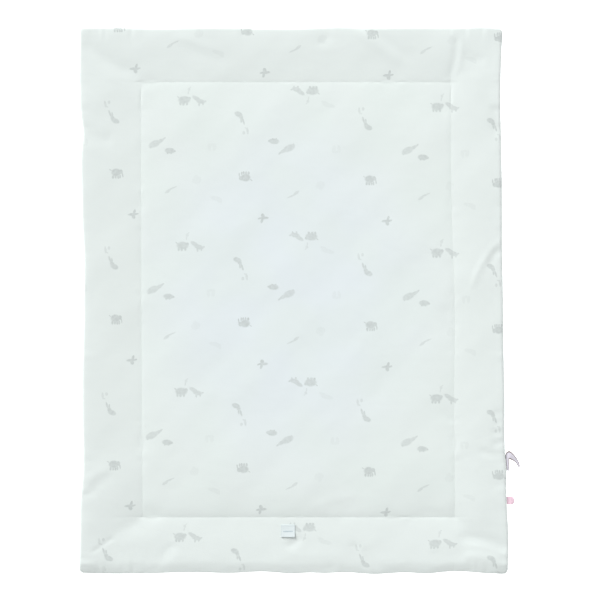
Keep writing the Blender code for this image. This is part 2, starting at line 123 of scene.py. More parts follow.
# Each border's crown at its middle and at its ends, how much of the way out it lies, how evenly the cloth
# rises to it, how far it falls again, how it rounds over to the rim, and how much of the rim is a flat lip
BORDER_FORMS = {
    "left": BorderForm(17.1, 12.0, 0.83, 1.25, 0.6, 4.5, 2.8, 0.0),
    "right": BorderForm(16.0, 12.0, 0.7, 2.2, 0.0, 6.5, 2.5, 0.0),
    "head": BorderForm(11.8, 11.6, 0.65, 1.3, 0.9, 4.5, 2.8, 0.0),
    "foot": BorderForm(8.4, 10.0, 0.5, 1.6, 0.0, 20.0, 1.9, 0.45),
}

# Folds pressed into the filled cloth, from one end to the other: the bow is how far the middle strays to
# the left of the way there, and a height below zero is a trough
CREASES = (
    # head border
    Crease(-368, 458, -284, 404, -5, 14, -1.2),
    Crease(-206, 468, -150, 448, 3, 8, 0.6),
    Crease(-190, 454, -118, 424, -4, 11, -0.4),
    Crease(112, 480, 188, 424, 3, 10, 0.9),
    Crease(126, 487, 205, 432, 3, 9, -0.6),
    Crease(66, 470, 50, 452, 0, 9, -0.8),
    # corner beyond the head seam's right end
    Crease(291, 396, 302, 466, -4, 6, 0.4),
    Crease(280, 396, 293, 466, -4, 7, -0.8),
    Crease(294, 350, 291, 388, 1, 5, 0.2),
    Crease(304, 433, 344, 426, 0, 9, -0.6),
    # left border
    Crease(-374, 297, -322, 285, -3, 12, -0.9),
    Crease(-366, -318, -332, -296, 0, 8, 0.5),
    Crease(-360, -338, -322, -312, 2, 9, -0.6),
    Crease(-372, -347, -346, -338, 2, 6, -0.6),
    # corner beyond the foot seam's left end
    Crease(-280, -392, -330, -428, -3, 11, -0.3),
    Crease(-318, -420, -352, -446, 0, 4, -0.7),
    Crease(-272, -412, -306, -440, -2, 15, 0.5),
    Crease(-214, -434, -234, -466, -4, 8, -0.7),
    Crease(-222, -466, -198, -452, 2, 9, 0.4),
    # foot border
    Crease(8, -420, -12, -438, 2, 7, -1.1),
    Crease(-30, -450, 96, -452, -3, 14, 0.6),
    Crease(104, -432, 122, -470, -3, 7, -0.9),
    Crease(128, -440, 148, -474, -3, 6, -0.8),
    Crease(255, -470, 246, -446, 0, 9, -0.5),
    # dips where the filling stops short of the foot rim
    Crease(-350, -470, -312, -469, 0, 7, -0.5),
    Crease(-306, -470, -264, -471, 0, 6, -0.4),
    Crease(-248, -474, -238, -474, 0, 7, -0.6),
    Crease(-190, -471, -118, -470, 0, 7, -0.4),
    Crease(52, -474, 72, -474, 0, 6, -0.5),
    Crease(112, -472, 168, -470, 0, 7, -0.4),
    Crease(192, -471, 240, -470, 0, 7, -0.4),
    Crease(318, -470, 352, -472, 0, 7, -0.5),
    # corner beyond the foot seam's right end
    Crease(294, -421, 376, -438, 4, 11, -1.2),
    Crease(306, -436, 366, -450, 3, 5, 0.2),
    Crease(302, -456, 358, -459, 2, 8, 0.8),
    Crease(366, -449, 380, -438, 0, 4, 0.5),
    # right border
    Crease(370, 106, 316, 28, -5, 6, 0.9),
    Crease(370, 92, 350, 62, -4, 8, -1.0),
    Crease(362, 345, 366, 290, 0, 9, -0.9),
    Crease(376, -196, 352, -199, 1, 3.5, -0.9),
    Crease(376, -212, 356, -216, 1, 3, -0.8),
    Crease(376, -229, 350, -235, 1, 3.5, -1.1),
    Crease(376, -246, 352, -254, 1, 4, -1.2),
    Crease(376, -272, 328, -266, 3, 4, -1.1),
    Crease(378, -318, 344, -334, 0, 10, -0.6),
    # puckers where the centre meets the frame seam
    Crease(24, -372, 110, -346, 6, 7, 0.5),
    Crease(44, -368, 76, -384, 0, 8, 0.5),
    Crease(226, -372, 264, -382, 0, 8, -0.6),
    Crease(-262, -366, -236, -384, 0, 7, -0.6),
    Crease(276, 352, 264, 326, 0, 6, -0.5),
    Crease(278, -214, 264, -196, 0, 7, -0.6),
    Crease(276, -60, 266, -10, 0, 9, -0.6),
)

# Wadding never lies quite level: waves of this height, with their lengths across and along
WAVES = (
    Wave(0.22, 310.0, 190.0, 0.4), Wave(0.20, 150.0, -410.0, 2.1), Wave(0.16, -170.0, 140.0, 4.4),
    Wave(0.10, 88.0, 260.0, 1.3), Wave(0.09, 420.0, -97.0, 5.2), Wave(0.06, -66.0, 74.0, 0.9),
)

# Small puckers that a seam's thread draws up, how their spacing wanders, and how far each seam's reach
PUCKERS = (Ripple(0.30, 21.0, 0.3), Ripple(0.26, 33.0, 1.9), Ripple(0.16, 13.5, 4.0))
PUCKER_WANDER = (Ripple(9.0, 157.0, 1.1), Ripple(6.0, 61.0, 3.7))
PUCKER_UNEVEN_PITCH = 211
RIM_PUCKER_REACH = 17
SEAM_PUCKER_REACH = 9
FAR_OFF = 99

# Simulated front cloth: how firmly the wadding holds it, how far from a seam it is slack, and its easing
HELD_BY_WADDING = 0.42
SLACK_REACH = 48
EASING = 4

# Satin tag in the right edge: rows from its sewn foot, up the edge, and out to its loose tip
SEWN_IN = None
TAG_ROWS = (
    TagRow(SEWN_IN, -302.2, 384.4, -302.4, 5.0, 6.2),
    TagRow(SEWN_IN, -292.0, 384.3, -292.0, 5.0, 7.4),
    TagRow(SEWN_IN, -282.5, 384.1, -284.0, 5.0, 7.8),
    TagRow(SEWN_IN, -274.0, 384.4, -282.0, 5.2, 7.8),
    TagRow(380.6, -268.2, 385.0, -281.6, 6.8, 7.6),
    TagRow(385.6, -267.0, 386.0, -281.8, 8.2, 7.0),
    TagRow(391.2, -271.4, 388.6, -283.0, 8.0, 6.0),
    TagRow(396.6, -277.8, 393.3, -285.4, 6.8, 4.8),
    TagRow(401.0, -284.8, 397.2, -288.8, 5.0, 3.4),
    TagRow(403.7, -291.4, 399.9, -293.0, 3.0, 2.2),
    TagRow(404.2, -296.2, 401.8, -296.6, 1.4, 1.3),
)

# The print: dabs of ink that make each small animal, in millimetres from the motif's middle
INK_DABS = {
    "elephant": (
        Dab(-0.8, 1.8, 17, 13.5, 0), Dab(7.2, 3.0, 7.4, 8.0, 0), Dab(10.4, -2.6, 2.4, 9, 8),
        Dab(-6.2, -6.0, 4.0, 6.5, 0), Dab(-1.6, -6.4, 3.4, 5.5, 0), Dab(2.6, -6.6, 3.4, 5.5, 0),
        Dab(6.0, -5.6, 3.0, 7, 0), Dab(-10.6, 6.0, 5, 1.6, -35),
    ),
    "swallow": (
        Dab(-4, 0.6, 18, 5.0, 4), Dab(-1.0, 5.0, 4.6, 9.5, -16), Dab(-2.6, -3.6, 6.5, 8, 18),
        Dab(3.4, 1.6, 6, 3.0, 10),
    ),
    "bee": (Dab(2.6, 3.4, 22, 3.0, 24), Dab(-4.0, -1.6, 12, 4.6, 32), Dab(-1.0, 0.6, 4, 4, 0)),
    "calf": (
        Dab(6, -13.4, 15, 9, -22), Dab(1.6, -8.4, 8, 7, -40), Dab(-2.6, -0.6, 3.6, 13, 18),
        Dab(1.4, -2.0, 3.0, 8, 6),
    ),
    "foal": (Dab(-10.2, 16.4, 4.2, 12.5, 6), Dab(-3.4, 19.6, 5, 6.5, 0), Dab(-7.4, 11.6, 5, 2.4, -30)),
    "cow": (
        Dab(-13.6, 1.0, 21, 13.5, 0), Dab(-20.4, -5.2, 4.2, 7.5, 0), Dab(-15.2, -6.2, 4.8, 6, 0),
        Dab(-9.0, -5.4, 4.4, 7, 0), Dab(-5.0, 3.4, 6, 6, -30), Dab(-24.2, 5.6, 5.5, 1.8, -40),
    ),
    "goat": (
        Dab(8.4, 3.2, 18, 7.4, -30), Dab(15.0, -1.6, 17, 8.4, -14), Dab(12.6, -7.0, 3.2, 7, 4),
        Dab(19.6, -5.8, 3.0, 6, 0), Dab(23.6, -1.6, 5, 3.0, 10),
    ),
    "reeds": (Dab(-5.2, 19.4, 5.4, 5.6, 0), Dab(-6.4, 14.0, 2.6, 7, -8), Dab(-3.0, 23.0, 4, 2, 30)),
    "hare": (
        Dab(-13.2, 2.8, 22, 12, 24), Dab(-3.0, 7.8, 14, 6.4, 30), Dab(3.4, 11.8, 8, 3.4, 40),
        Dab(-20.4, -2.4, 5, 6, 0),
    ),
    "hedgehog": (
        Dab(14, -9.2, 18, 10, -4), Dab(21.4, -9.8, 7, 4.6, -8), Dab(10, -13.2, 3, 4, 0),
        Dab(16.4, -13.2, 3, 4, 0),
    ),
    "arch": (Dab(-4.6, 0, 6, 14, 8), Dab(4.4, 0.4, 7, 14, -8), Dab(0, 5.0, 9, 5, 0)),
    "cone": (Dab(-1.0, 0, 11, 17, 6), Dab(4.2, -1, 7, 12, -10), Dab(-6.0, -3, 5, 9, 18)),
    "leaf": (Dab(6, 2, 24, 8, -14), Dab(13, -3.0, 14, 6, -20)),
}

# The repeat: one column to the next, one row to the next, and where the first one starts
REPEAT_ACROSS = Vector((225.2, -5.9, 0))
REPEAT_DOWN = Vector((-3.6, -258.6, 0))
REPEAT_START = Vector((-346.9, 391.2, 0))

# Where each motif stands in the repeat: in one column, and turned round in the next
MOTIFS = (
    Motif("elephant", 35.6, -165.5, 38.6, -165.0, 0.86),
    Motif("swallow", 67.6, -238.5, 66.8, -238.0, 0.84),
    Motif("bee", 129.9, -195.8, 125.5, -195.3, 0.5),
    Motif("calf", 26.7, -58.7, 32.7, -67.7, 0.74),
    Motif("foal", 26.7, -58.7, 32.7, -67.7, 0.46),
    Motif("cow", 169.0, -35.6, 145.0, -12.0, 0.76),
    Motif("goat", 169.0, -35.6, 145.0, -12.0, 0.66),
    Motif("reeds", 169.0, -35.6, 145.0, -12.0, 0.4),
    Motif("hare", 115.7, -115.7, 104.0, -111.6, 0.62),
    Motif("hedgehog", 115.7, -115.7, 104.0, -111.6, 0.78),
    Motif("arch", 204.7, -119.0, 201.0, -116.0, 0.16),
    Motif("cone", 178.0, -176.0, 172.0, -181.0, 0.15),
    Motif("leaf", 206.5, -212.0, 193.0, -36.5, 0.18),
)


def length_setting(name, description, default):
    return FloatProperty(
        name=name, description=description, default=default * MM, min=0.0, unit="LENGTH", subtype="DISTANCE"
    )


def colour_setting(name, description, default):
    return FloatVectorProperty(
        name=name, description=description, default=default, min=0.0, max=1.0, size=3, subtype="COLOR"
    )


class QuiltSettings(bpy.types.PropertyGroup):
    """Sizes and colours of the filled quilt."""

    width: length_setting("Width", "Side to side before the filling draws it in", 750.0)
    length: length_setting("Length", "Head to foot before the filling draws it in", 969.6)
    corner: length_setting("Corner", "Radius of the outer corners", 9.0)
    frame_left: length_setting("Frame left", "Centre line to the frame seam's left run", 269.0)
    frame_right: length_setting("Frame right", "Centre line to the frame seam's right run", 283.0)
    frame_head: length_setting("Frame head", "Centre line to the frame seam's head run", 388.5)
    frame_foot: length_setting("Frame foot", "Centre line to the frame seam's foot run", 384.5)
    rim_height: length_setting("Rim height", "Height of the rim seam above the floor", 5.0)
    loft: length_setting("Loft", "Height of the front in the middle of the centre panel", 14.0)
    arch: length_setting("Arch", "How much lower the centre panel lies towards the head and the foot", 2.2)
    seam_dip: length_setting("Seam dip", "How deep the frame seam's thread pulls the front in", 0.3)
    seam_underside: length_setting("Seam underside", "Height of the back cloth at the frame seam", 3.5)
    border_pitch: length_setting("Border pitch", "Mesh pitch across the borders", 2.7)
    centre_pitch: length_setting("Centre pitch", "Mesh pitch across the centre panel", 5.6)
    cloth_pitch: length_setting("Cloth pitch", "Mesh pitch of the simulated front", 8.0)
    pull_cap: length_setting("Pull cap", "How far the simulated cloth may move", 3.0)
    cotton: colour_setting("Cotton", "Pale ground of the printed front", (0.82, 0.885, 0.865))
    ink: colour_setting("Ink", "Grey of the printed animals", (0.54, 0.59, 0.58))
    backing: colour_setting("Backing", "Plain cotton of the back", (0.78, 0.84, 0.82))
    frames: IntProperty(name="Frames", description="Steps of the cloth simulation", default=24, min=1)


class TrimSettings(bpy.types.PropertyGroup):
    """Sizes and colours of the stitches and of the small pieces sewn to the quilt."""

    stitch_pitch: length_setting("Stitch pitch", "From one stitch to the next", 3.6)
    stitch_length: length_setting("Stitch length", "Length of one stitch", 2.7)
    thread: length_setting("Thread", "Thickness of the sewing thread", 0.55)
    thread_colour: colour_setting("Thread colour", "Colour of the sewing thread", (0.80, 0.86, 0.84))
    label_width: length_setting("Label width", "Width of the woven label", 25.0)
    label_length: length_setting("Label length", "Length of the woven label", 22.0)
    label_x: length_setting("Label place", "Left of the quilt's centre line", 8.7)
    label_y: length_setting("Label drop", "Below the quilt's centre line", 408.5)
    label_lift: length_setting("Label lift", "How far its loose edge stands up", 2.2)
    label_colour: colour_setting("Label colour", "Bluish white of the woven label", (0.78, 0.86, 0.87))
    tag_thickness: length_setting("Tag thickness", "Thickness of the satin tag", 0.8)
    tag_colour: colour_setting("Tag colour", "Lilac white of the satin tag", (0.84, 0.81, 0.90))
    loop_width: length_setting("Loop width", "Width of the ribbon loop", 13.2)
    loop_reach: length_setting("Loop reach", "How far the loop stands out of the rim", 13.4)
    loop_y: length_setting("Loop drop", "Below the quilt's centre line", 355.0)
    loop_rounding: FloatProperty(
        name="Loop rounding", description="How far its corners draw in", default=0.2, min=0.0, max=1.0
    )
    loop_colour: colour_setting("Loop colour", "Pink of the ribbon loop", (1.0, 0.72, 0.84))


class StageSettings(bpy.types.PropertyGroup):
    """Floor, lights and camera."""

    camera_height: length_setting("Camera height", "Straight above the quilt", 2525.0)
    lens: FloatProperty(name="Lens", description="Focal length in millimetres", default=85.0, min=1.0)
    camera_x: length_setting("Camera place", "Right of the quilt's centre line", 12.6)
    camera_y: length_setting("Camera rise", "Above the quilt's centre line", 1.4)
    key_strength: FloatProperty(name="Key", description="Strength of the key light", default=2.9, min=0.0)
    key_azimuth: FloatProperty(
        name="Key azimuth", description="Where the key stands", default=math.radians(120), subtype="ANGLE"
    )
    key_elevation: FloatProperty(
        name="Key elevation", description="How high it stands", default=math.radians(30), subtype="ANGLE"
    )
    key_softness: FloatProperty(
        name="Key softness", description="Its apparent size", default=math.radians(34), subtype="ANGLE"
    )
    fill_strength: FloatProperty(name="Fill", description="Light from all round", default=0.52, min=0.0)
    floor_colour: colour_setting("Floor colour", "Pale studio floor", (0.95, 0.95, 0.95))
    floor_glow: FloatProperty(
        name="Floor glow", description="Light the pale floor gives off", default=1.0, min=0.0
    )


def settings():
    return bpy.context.scene.cradle_blanket


class BlanketSettings(bpy.types.PropertyGroup):
    """All settings of the blanket."""

    quilt: PointerProperty(type=QuiltSettings)
    trim: PointerProperty(type=TrimSettings)
    stage: PointerProperty(type=StageSettings)


def along(rows, places):
    """The bulge at each place on a side: a smooth curve through the table's rows."""
    at = np.array([row.place for row in rows], float)
    bulge = np.array([row.bulge for row in rows], float)
    slope = np.gradient(bulge, at)
    slope[0] = slope[-1] = 0.0
    places = np.clip(places, at[0], at[-1])
    n = np.clip(np.searchsorted(at, places), 1, len(at) - 1)
    run = at[n] - at[n - 1]
    t = (places - at[n - 1]) / run
    return (
        bulge[n - 1] * (2 * t**3 - 3 * t**2 + 1)
        + bulge[n] * (3 * t**2 - 2 * t**3)
        + slope[n - 1] * run * (t**3 - 2 * t**2 + t)
        + slope[n] * run * (t**3 - t**2)
    )


def swell(distance, reach, roundness):
    """How far filled cloth has risen: 0 on its seam, 1 at reach and beyond."""
    t = np.clip(distance / reach, 0.0, 1.0)
    return (1.0 - (1.0 - t) ** roundness) ** (1.0 / roundness)


class Quilt:
    """The filled quilt's form: where each point of the flat cloth lies once it is sewn and filled."""

    dip_reach = 3.5
    under_rim = 13.0
    under_seam = 12.0
    under_roundness = 2.0

    def __init__(self, chosen):
        self.half_x, self.half_y = chosen.width / MM / 2, chosen.length / MM / 2
        self.corner = chosen.corner / MM
        self.left, self.right = chosen.frame_left / MM, chosen.frame_right / MM
        self.head, self.foot = chosen.frame_head / MM, chosen.frame_foot / MM
        self.rim_height = chosen.rim_height / MM
        self.loft, self.arch = chosen.loft / MM, chosen.arch / MM
        self.seam_dip, self.seam_underside = chosen.seam_dip / MM, chosen.seam_underside / MM
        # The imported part's origin is the middle of all its pieces, beside the quilt's centre lines
        trim = settings().trim
        self.shift_x = (label_box[0].x + label_box[1].x) / MM / 2 + trim.label_x / MM
        self.shift_y = (loop_box[0].y + loop_box[1].y) / MM / 2 + trim.loop_y / MM

    def inside_frame(self, x, y):
        return np.minimum(x + self.left, self.right - x), np.minimum(y + self.foot, self.head - y)

    def from_rim(self, x, y):
        return self.half_x - np.abs(x), self.half_y - np.abs(y)

    def beyond_frame(self, x, y):
        across, lengthways = self.inside_frame(x, y)
        return np.hypot(np.maximum(-across, 0), np.maximum(-lengthways, 0))

    def folds(self, x, y):
        """Waves in the wadding and the folds of the table, as soft ridges and troughs."""
        height = np.zeros_like(x)
        for wave in WAVES:
            height += wave.height * np.sin(2 * np.pi * (x / wave.across + y / wave.lengthways) + wave.start)
        for crease in CREASES:
            run_x, run_y = crease.to_x - crease.x, crease.to_y - crease.y
            length = math.hypot(run_x, run_y)
            t = ((x - crease.x) * run_x + (y - crease.y) * run_y) / length**2
            aside = ((y - crease.y) * run_x - (x - crease.x) * run_y) / length
            aside = aside - crease.bow * 4 * t * (1 - t)
            fade = np.clip((0.65 - np.abs(t - 0.5)) / 0.3, 0, 1)
            fade = fade * fade * (3 - 2 * fade)
            height += crease.height * fade * np.exp(-((aside / crease.width) ** 2))
        return height

    def puckers(self, x, y):
        """Small folds square to the rim and to the frame seam, strongest beside the thread."""
        rim_x, rim_y = self.from_rim(x, y)
        across, lengthways = self.inside_frame(x, y)
        off_x = np.where(lengthways > -6, np.minimum(np.abs(across), FAR_OFF), FAR_OFF)
        off_y = np.where(across > -6, np.minimum(np.abs(lengthways), FAR_OFF), FAR_OFF)
        height = np.zeros_like(x)
        for place, off, reach in (
            (y, rim_x, RIM_PUCKER_REACH), (x, rim_y, RIM_PUCKER_REACH),
            (y, off_x, SEAM_PUCKER_REACH), (x, off_y, SEAM_PUCKER_REACH),
        ):
            wandering = place + sum(self.ripple(sway, place) for sway in PUCKER_WANDER)
            drawn = sum(self.ripple(pucker, wandering) for pucker in PUCKERS)
            uneven = 0.55 + 0.45 * np.sin(2 * np.pi * place / PUCKER_UNEVEN_PITCH + reach)
            height += drawn * uneven * np.exp(-((off / reach) ** 2)) * np.clip(off / 3, 0, 1)
        return height

    def ripple(self, ripple, place):
        return ripple.height * np.sin(2 * np.pi * place / ripple.pitch + ripple.start)

    def panel_height(self, x, y):
        """The centre panel's own form: a long arch that falls to each run of the frame seam."""
        middle, half = (self.head - self.foot) / 2, (self.head + self.foot) / 2
        height = self.loft - self.arch * ((y - middle) / half) ** 2
        inward = {
            "left": x + self.left, "right": self.right - x,
            "head": self.head - y, "foot": y + self.foot,
        }
        for side, fall in PANEL_FALLS.items():
            height = height - fall.near * np.exp(-inward[side] / fall.near_reach)
            height = height - fall.far * np.clip(1 - inward[side] / fall.far_reach, 0, 1) ** 2
        return height

    def front_height(self, x, y):
        """The front: the panel's arch, and borders that rise from the seam to crowns inside the rim."""
        across = np.where(x < 0, -x - self.left, x - self.right)
        lengthways = np.where(y < 0, -y - self.foot, y - self.head)
        out_x, out_y = np.maximum(across, 0), np.maximum(lengthways, 0)
        seam_x, seam_y = np.clip(x, -self.left, self.right), np.clip(y, -self.foot, self.head)
        height = self.panel_height(seam_x, seam_y)
        crown_x, way_x, rim_x = self.border_pair("left", "right", x, out_x, self.half_x, y / self.half_y)
        crown_y, way_y, rim_y = self.border_pair("foot", "head", y, out_y, self.half_y, x / self.half_x)
        mix = out_x**2 / np.maximum(out_x**2 + out_y**2, 1e-9)
        height = height + mix * way_x * (crown_x - height) + (1 - mix) * way_y * (crown_y - height)
        inner = np.minimum(np.abs(across), np.abs(lengthways))
        off_seam = np.where((across < 0) & (lengthways < 0), inner, np.hypot(out_x, out_y))
        height = height + self.folds(x, y) - self.seam_dip * np.exp(-off_seam / self.dip_reach)
        return self.rim_height + (height - self.rim_height) * rim_x * rim_y

    def border_pair(self, low, high, place, out, half, share):
        """The forms of two facing borders, each on its own side of the quilt's centre line."""
        off_rim = half - np.abs(place)
        found = [
            self.border_form(side, out / (half - getattr(self, side)), off_rim, share)
            for side in (low, high)
        ]
        return [np.where(place < 0, *pair) for pair in zip(*found)]

    def border_form(self, side, t, off_rim, share):
        """A border's crown, how far the cloth has risen to it, and how far it has risen from the rim."""
        form = BORDER_FORMS[side]
        beyond_crown = np.clip((t - form.crown_at) / (1 - form.crown_at), 0, 1)
        crown = form.crown + (form.end_crown - form.crown) * share**2 - form.shoulder * beyond_crown**3
        way = 1 - (1 - np.clip(t / form.crown_at, 0, 1)) ** form.roundness
        rolled = swell(off_rim, form.rim_reach, form.rim_roundness)
        from_rim = np.clip(off_rim / form.rim_reach, 0, 1)
        flat_lip = from_rim * from_rim * (3 - 2 * from_rim)
        return crown, way, rolled * (1 - form.lip) + flat_lip * form.lip

    def back_height(self, x, y):
        rim_x, rim_y = self.from_rim(x, y)
        rim = swell(rim_x, self.under_rim, self.under_roundness)
        rim = rim * swell(rim_y, self.under_rim, self.under_roundness)
        across, lengthways = self.inside_frame(x, y)
        inside = (across > 0) & (lengthways > 0)
        off_seam = np.where(inside, np.minimum(across, lengthways), self.beyond_frame(x, y))
        seam = swell(off_seam, self.under_seam, self.under_roundness)
        return self.rim_height * (1 - rim) + self.seam_underside * (1 - seam) * rim

    def drawn_in(self, x, y):
        """Where a point of the straight-sided quilt lies once its sides have been drawn in unevenly."""
        core_x, core_y = self.half_x - self.corner, self.half_y - self.corner
        a = np.clip((np.abs(x) - core_x) / self.corner, 0, 1)
        b = np.clip((np.abs(y) - core_y) / self.corner, 0, 1)
        round_x = core_x + self.corner * a * np.sqrt(1 - b * b / 2)
        round_y = core_y + self.corner * b * np.sqrt(1 - a * a / 2)
        at_corner = (a > 0) & (b > 0)
        x = np.where(at_corner, np.copysign(round_x, x), x)
        y = np.where(at_corner, np.copysign(round_y, y), y)
        left, right = -along(LEFT_EDGE, y), along(RIGHT_EDGE, y)
        frame_left, frame_right = -along(FRAME_LEFT_SEAM, y), along(FRAME_RIGHT_SEAM, y)
        foot, head = -along(FOOT_EDGE, x), along(HEAD_EDGE, x)

        def between(place, low, high, low_shift, high_shift):
            t = (place - low) / (high - low)
            return low_shift + (high_shift - low_shift) * t

        move_x = np.where(
            x < -self.left,
            between(x, -self.half_x, -self.left, left, frame_left),
            np.where(
                x > self.right,
                between(x, self.right, self.half_x, frame_right, right),
                between(x, -self.left, self.right, frame_left, frame_right),
            ),
        )
        move_y = np.where(
            y < -self.foot,
            between(y, -self.half_y, -self.foot, foot, 0),
            np.where(y > self.head, between(y, self.head, self.half_y, 0, head), 0),
        )
        return x + move_x, y + move_y

    def placed(self, x, y, z):
        """Points in the shared frame, in metres, from the flat cloth's places and their heights."""
        drawn_x, drawn_y = self.drawn_in(x, y)
        return np.stack([drawn_x + self.shift_x, drawn_y + self.shift_y, z], axis=-1) * MM

    def rim_x(self, y):
        """The right outline at a height on it, in the shared frame, in millimetres."""
        flat_y = np.linspace(-self.half_y, self.half_y, 800)
        x, drawn_y = self.drawn_in(np.full_like(flat_y, self.half_x), flat_y)
        return float(np.interp(y, drawn_y, x))


def panel_places(start, end, pitch, close):
    """Places from one seam to the next: closer beside both, and about pitch apart between."""
    near = np.array(close)
    count = max(1, round((end - start - 2 * near[-1]) / pitch))
    between = np.linspace(start + near[-1], end - near[-1], count + 1)[1:-1]
    return np.concatenate([start + near, between, end - near[::-1], [end]])


def grid_places(low, low_seam, high_seam, high, border_pitch, centre_pitch, close=(0.6, 1.5, 3.0, 5.2)):
    places = [
        np.array([low]),
        panel_places(low, low_seam, border_pitch, close),
        panel_places(low_seam, high_seam, centre_pitch, close),
        panel_places(high_seam, high, border_pitch, close),
    ]
    return np.concatenate(places)


def cubic_weights(places, stops):
    """The share of each stop in each place, for a smooth curve through evenly spaced stops."""
    pitch = stops[1] - stops[0]
    n = np.clip(((places - stops[0]) / pitch).astype(int), 0, len(stops) - 2)
    t = (places - stops[n]) / pitch
    weights = np.zeros((len(places), len(stops)))
    parts = (
        (-1, -0.5 * t**3 + t**2 - 0.5 * t),
        (0, 1.5 * t**3 - 2.5 * t**2 + 1),
        (1, -1.5 * t**3 + 2 * t**2 + 0.5 * t),
        (2, 0.5 * t**3 - 0.5 * t**2),
    )
    for step, share in parts:
        column = np.clip(n + step, 0, len(stops) - 1)
        np.add.at(weights, (np.arange(len(places)), column), share)
    return weights


def coordinates(mesh):
    found = np.empty(len(mesh.vertices) * 3, np.float32)
    mesh.vertices.foreach_get("co", found)
    return found.reshape(-1, 3).astype(float)


def cloth_grid(name, points):
    """A mesh object of one sheet from a table of rows and columns of points."""
    rows, columns = points.shape[:2]
    bm = bmesh.new()
    bmesh.ops.create_grid(bm, x_segments=columns - 1, y_segments=rows - 1, size=0.5)
    mesh = bpy.data.meshes.new(name)
    bm.to_mesh(mesh)
    bm.free()
    mesh.vertices.foreach_set("co", points.reshape(-1, 3).astype(np.float32).ravel())
    mesh.update()
    sheet = bpy.data.objects.new(name, mesh)
    bpy.context.collection.objects.link(sheet)
    return sheet


def weigh(sheet, name, weights):
    group = sheet.vertex_groups.new(name=name)
    for index, weight in enumerate(weights):
        group.add([index], float(weight), "REPLACE")
    return group.name


def eased(values, passes):
    """Draws each vector of a grid towards its neighbours: wadding lets no sharp wrinkle form."""
    for _ in range(passes):
        for axis in (0, 1):
            edge = np.take(values, [0], axis), np.take(values, [-1], axis)
            spread = np.concatenate([edge[0], values, edge[1]], axis)
            count = values.shape[axis]
            before = np.take(spread, range(count), axis)
            after = np.take(spread, range(2, count + 2), axis)
            values = 0.5 * values + 0.25 * (before + after)
    return values


def simulated_pull(quilt, chosen):
    """How far the front cloth moves when it is sewn down slack over the wadding, and at which places."""
    pitch = chosen.cloth_pitch / MM
    places_x = np.linspace(-quilt.half_x, quilt.half_x, round(2 * quilt.half_x / pitch) + 1)
    places_y = np.linspace(-quilt.half_y, quilt.half_y, round(2 * quilt.half_y / pitch) + 1)
    x, y = np.meshgrid(places_x, places_y)
    start = quilt.placed(x, y, quilt.front_height(x, y))
    sheet = cloth_grid("front_cloth", start)
    rim_x, rim_y = quilt.from_rim(x, y)
    across, lengthways = quilt.inside_frame(x, y)
    edge = np.minimum(rim_x, rim_y)
    on_x = np.where(lengthways > -pitch / 2, np.abs(across), FAR_OFF)
    on_y = np.where(across > -pitch / 2, np.abs(lengthways), FAR_OFF)
    seam = np.minimum(on_x, on_y)
    held = np.where((seam < 0.55 * pitch) | (edge < 0.5 * pitch), 1.0, HELD_BY_WADDING)
    slack = np.clip(1 - np.minimum(edge, seam) / SLACK_REACH, 0, 1)
    cloth = sheet.modifiers.new("cloth", "CLOTH")
    use = cloth.settings
    use.vertex_group_mass = weigh(sheet, "held", held.ravel())
    use.pin_stiffness = 6.0
    use.vertex_group_shrink = weigh(sheet, "slack", slack.ravel())
    use.shrink_min = -0.004
    use.shrink_max = -0.016
    use.quality = 6
    use.mass = 0.15
    use.tension_stiffness = use.compression_stiffness = 30
    use.shear_stiffness = 8
    use.bending_stiffness = 1.5
    use.use_pressure = True
    use.uniform_pressure_force = 0.6
    use.effector_weights.gravity = 0
    cloth.collision_settings.use_collision = False
    cloth.point_cache.frame_start = 1
    cloth.point_cache.frame_end = chosen.frames
    for step in range(1, chosen.frames + 1):
        bpy.context.scene.frame_set(step)
    evaluated = sheet.evaluated_get(bpy.context.evaluated_depsgraph_get())
    moved = eased(coordinates(evaluated.to_mesh()).reshape(start.shape) - start, EASING)
    evaluated.to_mesh_clear()
    bpy.context.scene.frame_set(1)
    bpy.data.objects.remove(sheet, do_unlink=True)
    far = np.linalg.norm(moved, axis=-1, keepdims=True)
    cap = chosen.pull_cap
    moved *= np.tanh(far / cap) * cap / np.maximum(far, 1e-9)
    return places_x, places_y, moved


